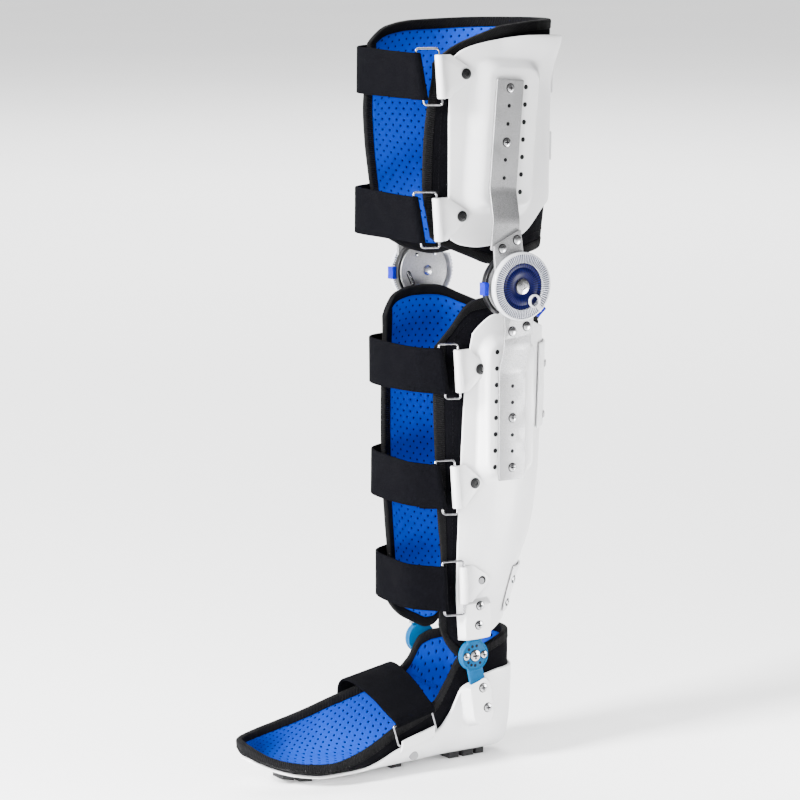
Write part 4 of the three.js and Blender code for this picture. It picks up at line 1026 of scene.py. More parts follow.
def add_piece(
    name: str, parts: list[Surface], look: Looks, body: Body, replaces: str | None = None, side: int = 1
) -> bpy.types.Object:
    """Make one object from closed surfaces and put it on its body.

    Args:
        name: Object name.
        parts: Closed surfaces in millimetres.
        look: Finish and slot.
        body: Body that it rides on.
        replaces: CAD node that it stands for.
        side: 1 to place the surfaces as they are, -1 to mirror them to the medial side.

    Returns:
        The object.
    """
    whole = stacked([part.on_side(side).outward() for part in parts])
    keys = np.round(whole.points / WELD).astype(np.int64)
    _, first, merged = np.unique(keys, axis=0, return_index=True, return_inverse=True)
    corners = merged.reshape(-1)[whole.quads]
    kept = corners != np.roll(corners, 1, axis=1)
    count = kept.sum(axis=1)
    faces, flats = [], []
    for size in (4, 3):
        rows = count == size
        mask = kept[rows]
        faces += corners[rows][mask].reshape(-1, size).tolist()
        flats.append(whole.flat[rows][mask].reshape(-1, 2))
    mesh = bpy.data.meshes.new(name)
    mesh.from_pydata((whole.points[first] * MM).tolist(), [], faces)
    layer = mesh.uv_layers.new(name=FLAT_MAP)
    layer.data.foreach_set("uv", (np.concatenate(flats) * MM).ravel())
    mesh.polygons.foreach_set("use_smooth", np.ones(len(mesh.polygons), dtype=bool))
    mesh.set_sharp_from_angle(angle=SHARP_ANGLE)
    mesh.materials.append(look.value.finish.material())
    piece = bpy.data.objects.new(name, mesh)
    bpy.context.scene.collection.objects.link(piece)
    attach(piece, body.value)
    if replaces:
        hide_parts(replaces)
    LOG.info("%s: %d faces on %s", name, len(faces), body.value)
    return piece


# Leg surfaces and padded cuffs.


@dataclass(frozen=True)
class Leg:
    """A leg's padded surface: at each height half an ellipse behind a centre and a curved flank in front."""

    sections: Rows

    def point(self, girth: Array, z: Array, offset: Array) -> Array:
        """Point at a girth and height, moved along the section's normal.

        Girth runs from 0 at the back to 1 at the side as a quarter ellipse, (half sin, centre + back cos),
        and on along the flank, where x = half - inset * arm^2 and y = centre - 100 arm. Its sign gives the
        side.

        Args:
            girth: Signed girth.
            z: Height.
            offset: Distance outwards.

        Returns:
            Points, with a last axis of 3.
        """
        half, back, centre, inset = (column.at(z) for column in columns(self.sections))
        size = np.abs(girth)
        angle = np.minimum(size, 1) * np.pi / 2
        arm = np.maximum(size - 1, 0)
        x = half * np.sin(angle) - inset * arm**2
        y = centre + back * np.cos(angle) - FLAT_LENGTH * arm
        rear = size <= 1
        nx = np.where(rear, back * np.sin(angle), 1.0)
        ny = np.where(rear, half * np.cos(angle), -2 * inset * arm / FLAT_LENGTH)
        norm = np.hypot(nx, ny)
        side = np.where(girth < 0, -1.0, 1.0)
        return np.stack([side * (x + nx / norm * offset), y + ny / norm * offset, z + 0 * x], -1)

    def girth(self, y: Array, z: Array) -> Array:
        """Return the girth at which the flank reaches a Y."""
        return 1 + (columns(self.sections)[2].at(z) - y) / FLAT_LENGTH


THIGH_LEG = Leg(
    (
        (520, 57, 74, 24, 6), (560, 58, 78.5, 24, 6), (600, 58, 83.5, 24, 6), (680, 58, 84.6, 24, 6),
        (740, 58.5, 87, 24, 6), (790, 59.5, 91, 24, 6),
    )
)
CALF_LEG = Leg(
    (
        (110, 40.6, 46, 1, 16), (150, 40.6, 50.4, 3, 18), (203, 43.7, 61, 10, 20), (240, 46.5, 72.7, 14, 22),
        (270, 48.7, 77, 16, 24), (310, 51.5, 78.7, 18.5, 24), (400, 54.7, 77.5, 22, 24),
        (500, 56, 75, 25, 24),
    )
)


@dataclass(frozen=True)
class Cuff:
    """Padded cuff of the thigh or calf: perforated lining, padded liner, binding tape and stitches."""

    body: Body
    leg: Leg
    front: Rows
    edges: Rows
    inset: tuple[float, float]

    @property
    def name(self) -> str:
        """Name of the cuff's part of the leg."""
        return self.body.value

    def wall(self, u: Array, v: Array, offset: Array) -> Array:
        """Point of the wall: u runs from the medial to the lateral front edge, v from bottom to top.

        Args:
            u: Share of the way round.
            v: Share of the way up.
            offset: Distance out from the lining's face.

        Returns:
            Points, with a last axis of 3.
        """
        level = edge_levels(self.edges, v)
        lateral, medial = columns(self.front)
        start = -self.leg.girth(medial.at(level), level)
        end = self.leg.girth(lateral.at(level), level)
        girth = start + (end - start) * u
        return self.leg.point(girth, edge_heights(self.edges, girth, v), offset)

    def inset_wall(self, u: Array, v: Array, share: Array | float, offset: Array) -> Array:
        """Point of the part of the wall inside its border.

        Args:
            u: Share of the way round that part.
            v: Share of the way up that part.
            share: The border's width as a share of the binding's width.
            offset: Distance out from the lining's face.

        Returns:
            Points, with a last axis of 3.
        """
        du, dv = self.inset[0] * share, self.inset[1] * share
        return self.wall(du + (1 - 2 * du) * u, dv + (1 - 2 * dv) * v, offset)

    def padding(self, u: Array, v: Array, offset: Array) -> Array:
        """Return points of the padding, which ends under the binding."""
        return self.inset_wall(u, v, 0.9, offset)

    def loop(self) -> tuple[Array, Array]:
        """Walk round the four edges.

        Returns:
            u and v of points along the closed loop.
        """
        wide, tall = 150, 84
        u = np.linspace(0, 1, wide, endpoint=False)
        v = np.linspace(0, 1, tall, endpoint=False)
        around = np.concatenate([u, np.ones(tall), 1 - u, np.zeros(tall)])
        upwards = np.concatenate([np.zeros(wide), v, np.ones(wide), 1 - v])
        return around, upwards

    def border(self, inset: Array, offset: Array) -> Array:
        """Points round the border at distances from the edge and offsets from the lining's face.

        Args:
            inset: Distances from the edge, in millimetres.
            offset: Offsets at those distances.

        Returns:
            Loop points by distances by 3.
        """
        u, v = (values[:, None] for values in self.loop())
        return self.inset_wall(u, v, inset / BINDING, offset + 0 * u)

    def build(self) -> None:
        u, v = np.linspace(0, 1, 150), np.linspace(0, 1, 100)
        lining = add_piece(
            f"{self.name}_lining_cloth", [pillow(self.padding, u, v, LINING / 2, LINING / 2, 2)],
            Looks.LINING, self.body, f"{self.name}_lining",
        )
        middle, half = (LINER_IN + LINER_OUT) / 2, (LINER_OUT - LINER_IN) / 2
        liner = add_piece(
            f"{self.name}_liner_cloth", [pillow(self.padding, u, v, middle, half, 2)],
            Looks.LINER, self.body, f"{self.name}_liner",
        )
        tape = folded_tape(self.border, 0.0, 2.4, 3.0)
        binding = add_piece(
            f"{self.name}_binding_tape", [tape], Looks.TAPE, self.body, f"{self.name}_binding"
        )
        hems = ((8.2, LINER_OUT + 0.4, 1), (8.2, -0.4, -1), (19, LINER_OUT + 0.05, 1))
        add_piece(f"{self.name}_stitches", hem_stitches(self.border, hems), Looks.THREAD, self.body)


# Shells.


@dataclass(frozen=True)
class Pad:
    """Raised flat pad on a shell: a rectangle with round corners in Y and Z, with soft skirts round it.

    The skirts are the widths of the slopes in front, behind, below and above.
    """

    y: float
    z: float
    wide: float
    tall: float
    corner: float
    seat: float
    skirts: tuple[float, float, float, float]
    lean: float = 0.0

    def raised(self, points: Array) -> Array:
        """Move points of the lateral side out to the pad's face.

        X runs to the seat with 1 - smoothstep of the distance outside the rectangle over the skirt's width.
        At a corner that width is a mean of both sides' widths, weighted with the squares of their distances.

        Args:
            points: Outer points of the shell.

        Returns:
            The points with the pad raised.
        """
        dy, dz = points[..., 1] - self.y, points[..., 2] - self.z
        across = dy * math.cos(self.lean) + dz * math.sin(self.lean)
        along = dz * math.cos(self.lean) - dy * math.sin(self.lean)
        a = np.maximum(np.abs(across) - self.wide / 2 + self.corner, 0)
        b = np.maximum(np.abs(along) - self.tall / 2 + self.corner, 0)
        front, rear, low, high = self.skirts
        skirt_a, skirt_b = np.where(across < 0, front, rear), np.where(along < 0, low, high)
        skirt = (a**2 * skirt_a + b**2 * skirt_b + WELD) / (a**2 + b**2 + WELD)
        side = np.where(points[..., 0] < 0, -1.0, 1.0)
        share = 1 - smooth((np.hypot(a, b) - self.corner) / skirt, 0, 1)
        x = np.abs(points[..., 0])
        lifted = np.where(self.seat > x, x + (self.seat - x) * share, x)
        return np.stack([side * lifted, points[..., 1], points[..., 2]], -1)


@dataclass(frozen=True)
class HalfShells:
    """Lateral and medial half shells with raised pads, rear tabs, hole columns and screws."""

    body: Body
    leg: Leg
    front: Rows
    edges: Rows
    pads: tuple[Pad, ...]
    tabs: Rows
    holes: Rows
    screws: Rows
    tab_screws: Rows = ()
    flare: tuple[float, float, float] = (0.0, 1.0, 0.0)
    slit: float = 0.03

    def wall(self, u: Array, v: Array, offset: Array) -> Array:
        """Point of the lateral shell: u runs from the back to the front edge, v from bottom to top.

        Args:
            u: Share of the way round.
            v: Share of the way up.
            offset: Distance out from the lining's face.

        Returns:
            Points, with a last axis of 3.
        """
        level = edge_levels(self.edges, v)
        end = self.leg.girth(columns(self.front)[0].at(level), level)
        girth = self.slit + (end - self.slit) * u
        z = edge_heights(self.edges, girth, v)
        start, stop, out = self.flare
        rear = smooth(girth, 0.22, 0.45) * (1 - smooth(girth, 0.55, 1.05))
        return self.leg.point(girth, z, offset + out * smooth(z, start, stop) ** 2 * rear)

    def shape(self, points: Array) -> Array:
        """Raise every pad of the outer face."""
        for pad in self.pads:
            points = pad.raised(points)
        return points

    def tab(self, low: float, high: float, reach: float) -> Surface:
        """Rear strap of the shell that laps over the lateral half.

        Args:
            low: Lower edge.
            high: Upper edge.
            reach: Girth of its end.

        Returns:
            The closed strip.
        """
        half, rim, start = 1.2, 2.0, -0.22

        def place(u: Array, v: Array, offset: Array) -> Array:
            """Point of the strip, which comes out of the shell near its start."""
            girth = start + (reach - start) * u
            sunk = 2.6 * (1 - smooth(girth, -0.2, -0.1))
            return self.leg.point(girth, low + (high - low) * v, offset - sunk)

        u, v = edged(30, 90 * reach, rim), edged(16, high - low, rim)
        return pillow(place, u, v, SHELL_OUT + 0.9 + half, half, rim)

    def tab_screw_parts(self) -> tuple[list[Surface], list[Surface]]:
        """Screws on the rear tabs, each along the tab's normal.

        Returns:
            The heads, and their painted shade: shadow rings and recess floors.
        """
        screw = Screw(0, 0, 0, 4.0, SCREW_TALL)
        heads, dark = [], []
        for girth, z in self.tab_screws:
            face = SHELL_OUT + 3.2
            spot, above = self.leg.point(np.full(2, girth), np.full(2, z), np.array([face, face + 1]))
            heads.append(seated(screw.head(), spot, above - spot))
            # Each screw's painted shadow ring and recess shade, turned to the tab.
            dark += [seated(part, spot, above - spot) for part in screw.dark()]
        return heads, dark

    def build(self) -> None:
        """Build both shells with their holes and screws."""
        u, v = edged(84, 190, 1.5), edged(110, 260, 1.5)
        middle, half = (SHELL_IN + SHELL_OUT) / 2, (SHELL_OUT - SHELL_IN) / 2
        wall = pillow(self.wall, u, v, middle, half, 1.5, shape_outer=self.shape)
        tabs = [self.tab(*row) for row in self.tabs]
        name = f"{self.body.value}_shell"
        add_piece(f"{name}_lateral_skin", [wall], Looks.WHITE, self.body, f"{name}_lateral")
        add_piece(f"{name}_medial_skin", [wall.mirrored(), *tabs], Looks.WHITE, self.body, f"{name}_medial")
        holes = [plate(y, z, None, r, x - 0.6, x + 0.07, 0.05, 20) for x, y, z, r in self.holes]
        # dark holds painted shade: shadow rings under the screw heads and dark recess floors, added to the
        # holes' pieces.
        heads, dark = screw_parts([Screw(y, z, x, r, SCREW_TALL) for x, y, z, r in self.screws])
        if self.tab_screws:
            tab_heads, tab_painted_shade = self.tab_screw_parts()
            add_piece(f"{name}_tab_screws", tab_heads, Looks.BRIGHT, self.body)
            add_piece(f"{name}_tab_screw_painted_shade", tab_painted_shade, Looks.HOLE_AND_PAINTED_SHADE, self.body)
        for side, word in SIDES:
            add_piece(f"{name}_{word}_holes", holes + dark, Looks.HOLE_AND_PAINTED_SHADE, self.body, side=side)
            if heads:
                add_piece(f"{name}_{word}_screws", heads, Looks.BRIGHT, self.body, side=side)


# Uprights and hinges.


@dataclass(frozen=True)
class Strut:
    """Bent steel strip from its seat on the shell to the hinge arm."""

    body: Body
    y: float
    seat: float
    hinge: float
    lean: float
    heights: tuple[float, float, float, float]
    screws: tuple[float, ...]
    holes: tuple[float, ...]
    half: float = 16.5

    def turned(self, across: Array, z: Array) -> tuple[Array, Array]:
        """Return Y and Z of places across and up the strip, with its lean about the bend."""
        up = z - self.heights[1]
        y = self.y + across * math.cos(self.lean) + up * math.sin(self.lean)
        return y, self.heights[1] - across * math.sin(self.lean) + up * math.cos(self.lean)

    def spot(self, height: float) -> tuple[float, ...]:
        """Return Y and Z of the middle of the strip's width at a height."""
        return tuple(float(value) for value in self.turned(np.array(0.0), np.array(height)))

    def build(self) -> None:
        """Build the strip, its screws and its holes, on both sides."""
        top, start, stop, end = self.heights
        inner = self.seat + GAP
        z = np.linspace(top, end, 140)
        up = 1 if top > end else -1
        x = np.interp(z * up, np.array([end, stop, start, top]) * up, [self.hinge, self.hinge, inner, inner])
        window = 3
        ends = np.concatenate([np.full(window, x[0]), x, np.full(window, x[-1])])
        x = np.convolve(ends, np.ones(2 * window + 1) / (2 * window + 1), "valid")
        from_end = np.minimum(np.abs(z - top), np.abs(z - end))
        corner = 1.2
        cut = corner - np.sqrt(corner**2 - (corner - np.minimum(from_end, corner)) ** 2)
        tangent = unit(np.stack([np.gradient(x), np.gradient(z)], -1))
        normal = np.stack([tangent[:, 1], -tangent[:, 0]], -1) * np.sign(tangent[:1, 1])
        profile = round_profile(STEEL, 2, 0.7)
        thick = (profile[:, 0] + STEEL / 2)[None, :]
        edge = np.sign(profile[:, 1])
        wide = edge * (self.half - cut)[:, None] + (profile[:, 1] - edge)
        y, height = self.turned(wide, z[:, None] + thick * normal[:, 1:])
        points = capped(np.stack([x[:, None] + thick * normal[:, :1], y, height], -1))
        run = lengths(points.mean(axis=1))
        girth = np.linspace(0, 4 * self.half, points.shape[1] + 1)
        strip = grid(points, run, girth, wrap_across=True)
        face = inner + STEEL
        holes = [plate(*self.spot(at), None, 2.1, face - 1, face + 0.06, 0.05, 20) for at in self.holes]
        # dark holds painted shade: shadow rings under the screw heads and dark recess floors, added to the
        # holes' pieces.
        heads, dark = screw_parts([Screw(*self.spot(at), face, 4.2, SCREW_TALL) for at in self.screws])
        for side, word in SIDES:
            name = f"{self.body.value}_strut_{word}"
            add_piece(f"{name}_strip", [strip], Looks.STEEL, self.body, name, side)
            add_piece(f"{name}_holes", holes + dark, Looks.HOLE_AND_PAINTED_SHADE, self.body, side=side)
            add_piece(f"{name}_screws", heads, Looks.BRIGHT, self.body, side=side)


@dataclass(frozen=True)
class KneeHinge:
    """Arms, case, bumper, slider, and the clear dial with its disc, finger ring and key, on one side."""

    side: int
    word: str
    case: tuple[float, float, float, float] = (77.5, 85.5, 29.5, 22.5)
    lower_x: float = 85.8
    upper_x: float = 89.1
    dial_x: float = 92.4
    arm_disc: float = 30.0
    pin: float = 8.0
    pointer_angle: float = -0.84
    upper: Rows = ((-1, 506), (-4, 552), (29, 567), (33, 540), (40, 520))
    lower: Rows = ((8, 500), (14, 455), (46, 458), (50, 500))
    upper_rivets: Rows = ((6, 549), (24, 557))
    lower_rivets: Rows = ((21, 463), (39, 467))

    def add(
        self,
        name: str,
        parts: list[Surface],
        look: Looks,
        replaces: str | None = None,
        body: Body = Body.CALF,
    ) -> None:
        """Add a piece on this hinge's side."""
        add_piece(name, parts, look, body, replaces, self.side)

    def arm(self, which: str) -> None:
        """Build one arm with its rivets.

        Args:
            which: Which arm, upper or lower.
        """
        upper = which == "upper"
        outline, spots = (self.upper, self.upper_rivets) if upper else (self.lower, self.lower_rivets)
        x, body = (self.upper_x, Body.THIGH) if upper else (self.lower_x, Body.CALF)
        node = f"hinge_arm_{which}_{self.word}"
        leaf = plate(KNEE_Y, KNEE_Z, np.array(outline), self.arm_disc, x, x + STEEL, 0.6, 220)
        self.add(f"{node}_plate", [leaf], Looks.STEEL, node, body)
        # The rivets' dark rings are painted shadow round their heads.
        rivets, painted_rivet_shadows = screw_parts([Screw(y, z, x + STEEL, 4.4, 2.3, Recess.NONE) for y, z in spots])
        self.add(f"{node}_rivets", rivets, Looks.BRIGHT, body=body)
        self.add(f"{node}_washers", painted_rivet_shadows, Looks.HOLE_AND_PAINTED_SHADE, body=body)

    def blade(self, low: float, high: float, half: float) -> tuple[float, float, Array]:
        """Outline of a blade on the dial along the pointer's angle.

        Args:
            low: Nearest radius.
            high: Furthest radius.
            half: Half width.

        Returns:
            Y and Z of its middle, and its corners.
        """
        cos, sin = math.cos(self.pointer_angle), math.sin(self.pointer_angle)
        spots = np.array([(low, -half), (high, -half), (high, half), (low, half)])
        corners = spots @ np.array([(cos, sin), (-sin, cos)]) + (KNEE_Y, KNEE_Z)
        return (*corners.mean(axis=0), corners)

    def arc(
        self,
        y: float,
        radius: float,
        half: float,
        start: float,
        end: float,
        x0: float,
        x1: float,
        teeth: float = 0.0,
    ) -> Surface:
        """Part of a ring about an axis along X at the knee's height.

        Args:
            y: Y of the axis.
            radius: Middle radius.
            half: Half its thickness.
            start: First angle.
            end: Last angle.
            x0: Inner end.
            x1: Outer end.
            teeth: Height of ribs along X.

        Returns:
            The closed band.
        """

        def place(u: Array, v: Array, offset: Array) -> Array:
            """Point of the band at a share of the angle and of X."""
            angle = start + (end - start) * u
            r = radius + offset + teeth * np.sin(angle * 56) * (offset > 0)
            return np.stack([x0 + (x1 - x0) * v, y + r * np.cos(angle), KNEE_Z + r * np.sin(angle)], -1)

        length = radius * abs(end - start)
        return pillow(place, edged(120, length, 0.8), edged(8, x1 - x0, 0.8), 0.0, half, 0.8)

    def cover(self) -> Surface:
        """Clear cover with fine ribs round its face.

        Returns:
            The closed surface.
        """
        profile = np.array(
            [
                (8.3, 0), (20, 0), (33, 0), (34.4, 0.4), (DIAL_RADIUS, 1.5), (DIAL_RADIUS, 3.5),
                (DIAL_RADIUS, 5), (34.6, 5.9), (33.6, 6.4), (31, 6.55), (28, 6.7), (25.2, 6.95), (24.5, 6.9),
                (24.2, 6.5), (24.2, 2.6), (8.3, 2.6),
            ]
        ) + (0, self.dial_x)
        face = np.array([0, 0, 0, 0, 0, 0, 0.2, 0.6, 1, 1, 1, 0.6, 0.2, 0, 0, 0])

        def ripple(angle: Array, radius: Array, depth: Array) -> tuple[Array, Array]:
            """Ribs as a sine of the angle, on the face."""
            return radius, depth - 0.4 * face * (1 - np.sin(angle * DIAL_RIBS))

        return lathe(KNEE_Y, KNEE_Z, profile, 6 * DIAL_RIBS, ripple)

    def rim(self) -> list[Surface]:
        """Smooth wall round the clear cover, and its rear skirt.

        Returns:
            The closed surfaces.
        """
        x = self.dial_x
        profile = np.array(
            [
                (34.2, 0.6), (34.9, 0.6), (35.3, 1.4), (35.3, 5.0), (34.9, 6.1), (34.0, 6.7), (33.2, 6.7),
                (33.2, 6.2), (34.2, 5.4),
            ]
        ) + (0, x)
        skirt = self.arc(KNEE_Y, 33.0, 1.6, -0.7, 0.52, 80.5, x + 1, 0.5)
        return [lathe(KNEE_Y, KNEE_Z, profile, 128), skirt]

    def knob(self) -> list[Surface]:
        """Finger ring on the dial and the short bar that joins it to the rim.

        Returns:
            The closed surfaces.
        """
        x = self.dial_x
        y, z, _ = self.blade(20, 22, 1)
        profile = np.array(
            [(5.0, 5.8), (6.6, 5.8), (7.0, 6.4), (7.0, 8.4), (6.5, 9.2), (5.5, 9.2), (5.0, 8.4)]
        ) + (0, x)
        middle_y, middle_z, blade = self.blade(26.5, 34, 2.6)
        bar = plate(middle_y, middle_z, blade, 0.5, x + 6, x + 8.6, 0.8, 64)
        return [lathe(y, z, profile, 48), bar]

    def dial(self) -> None:
        """Build the dial."""
        x, word = self.dial_x, self.word
        cover, disc, key = (f"dial_{what}_{word}" for what in ("cover", "disc", "key"))
        self.add(f"{cover}_clear", [self.cover()], Looks.CLEAR, cover)
        self.add(f"dial_rim_{word}", self.rim() + self.knob(), Looks.RIM)
        top = x + 5.6
        profile = np.array(
            [
                (8.3, x + 2.9), (DISC_RADIUS, x + 2.9), (DISC_RADIUS, top - 0.4), (23.4, top), (20.4, top),
                (20, top - 0.3), (19.4, top - 0.3), (19, top), (12, top), (11.6, top - 0.3), (8.3, top - 0.3),
            ]
        )
        face = lathe(KNEE_Y, KNEE_Z, profile, 2 * DISC_RAYS)
        self.add(f"{disc}_face", [face], Looks.NAVY, disc)
        y, z, blade = self.blade(35.3, 38.6, 6)
        lever = plate(y, z, blade, 0.5, x + 1, top, 0.7, 64)
        self.add(f"{key}_lever", [lever], Looks.BLUE, key)
        head = Screw(KNEE_Y, KNEE_Z, x + 5.2, 7.6, 2.6, Recess.HEX).head()
        self.add(f"dial_screw_{word}", [head], Looks.BRIGHT)

    def housing(self) -> None:
        """Build the case, bumper and slider."""
        inner, outer, radius, y = self.case
        kinds = ("hinge_case", "hinge_bumper", "lock_slider")
        case, bumper, slider = (f"{kind}_{self.word}" for kind in kinds)
        disc = plate(y, KNEE_Z, None, radius, inner, outer, 0.8, 120)
        hub = plate(KNEE_Y, KNEE_Z, None, self.pin, outer - 1, self.dial_x + 4, 0.3, 48)
        self.add(f"{case}_disc", [disc, hub], Looks.STEEL, case)
        band = self.arc(y, radius + 1.95, 1.65, math.pi - 1.05, math.pi + 1.05, inner + 0.5, outer)
        self.add(f"{bumper}_band", [band], Looks.BLACK, bumper)
        middle_y, middle_z = y - radius - 3.6 - GAP - 2, 508.5
        box = np.array([(-2, -6.5), (3.4, -6.5), (3.4, 6.5), (-2, 6.5)]) + (middle_y, middle_z)
        button = plate(middle_y, middle_z, box, 0.5, inner + 4, outer + 5.5, 0.8, 72)
        self.add(f"{slider}_button", [button], Looks.BLUE, slider)
        self.inside(case)

    def inside(self, case: str) -> None:
        """Build what shows on the case's inner face: a rivet, small pins and a spring in its slot.

        Args:
            case: The case's name.
        """
        inner = self.case[0]
        pins = ((13, 527), (36, 527), (38, 492), (22, 487))
        screws = [Screw(KNEE_Y, KNEE_Z, inner, 5.4, 1.6, Recess.NONE)]
        screws += [Screw(y, z, inner, 2.0, 0.8, Recess.NONE) for y, z in pins]
        rivets = [screw.head().mirrored(inner) for screw in screws]
        self.add(f"{case}_rivets", rivets, Looks.BRIGHT)
        middle, lean = (5.5, 502), 0.45
        turn = np.array([(math.cos(lean), math.sin(lean)), (-math.sin(lean), math.cos(lean))])
        corners = np.array([(-2.6, -9), (2.6, -9), (2.6, 9), (-2.6, 9)]) @ turn + middle
        slot = plate(*middle, corners, 1.0, inner, inner + 0.08, 0.03, 72, 2).mirrored(inner)
        self.add(f"{case}_slot", [slot], Looks.HOLE_AND_PAINTED_SHADE)
        t = np.linspace(0, 1, 90)
        winding = t * 14 * np.pi
        flat = np.stack([1.4 * np.sin(winding), (t - 0.5) * 15], -1) @ turn + middle
        path = np.stack([inner - 0.6 - 0.9 * np.cos(winding), flat[:, 0], flat[:, 1]], -1)
        ahead = unit(np.gradient(path, axis=0))
        out = unit(np.cross(ahead, [1.0, 0.3, 0.2]))
        ring = np.arange(6) * np.pi / 3
        profile = 0.45 * np.stack([np.cos(ring), np.sin(ring)], -1)
        spring = swept(path, out, np.cross(ahead, out), profile, closed=False)
        self.add(f"{case}_spring", [spring], Looks.CHROME)

    def build(self) -> None:
        """Build the hinge."""
        self.arm("upper")
        self.arm("lower")
        self.housing()
        self.dial()


@dataclass(frozen=True)
class AnkleHinge:
    """Cyan ankle arms: the upper one with the pivot screw, the lower one leaning back into the heel cup."""

    lower_x: float = 46.8
    upper_x: float = 50.6
    thick: float = 3.5
    disc: float = 16.5
    neck: float = 9.0
    lean: float = 0.22
    top: float = 166.0
    reach: float = 52.0

    def leaned(self, across: float, down: float) -> tuple[float, float]:
        """Return Y and Z of a place across and down the lower arm."""
        cos, sin = math.cos(self.lean), math.sin(self.lean)
        return ANKLE_Y + across * cos + down * sin, ANKLE_Z + across * sin - down * cos

    def build(self) -> None:
        """Build both ankle hinges."""
        n = self.neck
        up = np.array([(-n, ANKLE_Z), (n, ANKLE_Z), (n, self.top), (-n, self.top)])
        down = np.array([self.leaned(a, d) for a, d in ((-n, 0), (-n, self.reach), (n, self.reach), (n, 0))])
        face = self.upper_x + self.thick
        upper = plate(ANKLE_Y, ANKLE_Z, up, self.disc, self.upper_x, face, 0.7, 160)
        lower = plate(ANKLE_Y, ANKLE_Z, down, self.disc, self.lower_x, self.lower_x + self.thick, 0.7, 160)
        profile = np.array([(14.8, -1), (16.2, -1), (16.2, 0.5), (15.8, 0.8), (15.2, 0.8), (14.8, 0.5)])
        rim = lathe(ANKLE_Y, ANKLE_Z, profile + (0, face), 72)
        screws = [Screw(ANKLE_Y, ANKLE_Z, face, 5.6, 2.2)]
        screws += [Screw(ANKLE_Y + y, ANKLE_Z, face, 3.6, 1.7) for y in (-11, 11)]
        # dark holds painted shade: shadow rings under the screw heads and dark recess floors, added to the
        # holes' pieces.
        heads, dark = screw_parts(screws)
        turn = np.radians([78, 108, 136, 218, 245, 272, 308])
        spots = np.stack([ANKLE_Y + 10.5 * np.cos(turn), ANKLE_Z + 10.5 * np.sin(turn)], -1)
        holes = [plate(y, z, None, 1.7, face - 1, face + 0.07, 0.05, 16) for y, z in spots]
        for side, word in SIDES:
            high, low = f"ankle_arm_upper_{word}", f"ankle_arm_lower_{word}"
            add_piece(f"{high}_plate", [upper, rim], Looks.CYAN, Body.CALF, high, side)
            add_piece(f"{low}_plate", [lower], Looks.CYAN, Body.FOOT, low, side)
            add_piece(f"ankle_screws_{word}", heads, Looks.BRIGHT, Body.CALF, side=side)
            add_piece(f"ankle_holes_{word}", holes + dark, Looks.HOLE_AND_PAINTED_SHADE, Body.CALF, side=side)


# Straps.


SLEEVE_LEAN = 0.4


@dataclass(frozen=True)
class CuffStrap:
    """One strap of a cuff with its wire ring, bracket and rivet.

    Lean is how far the ring's free wire is further forward at the strap's upper edge than at its lower edge.
    """

    at: str
    low: float
    rise: float
    slack: float
    lean: float
    sewn: bool
    sleeve: tuple[float, float]
    wire: tuple[float, float]
    rivet: tuple[float, float]


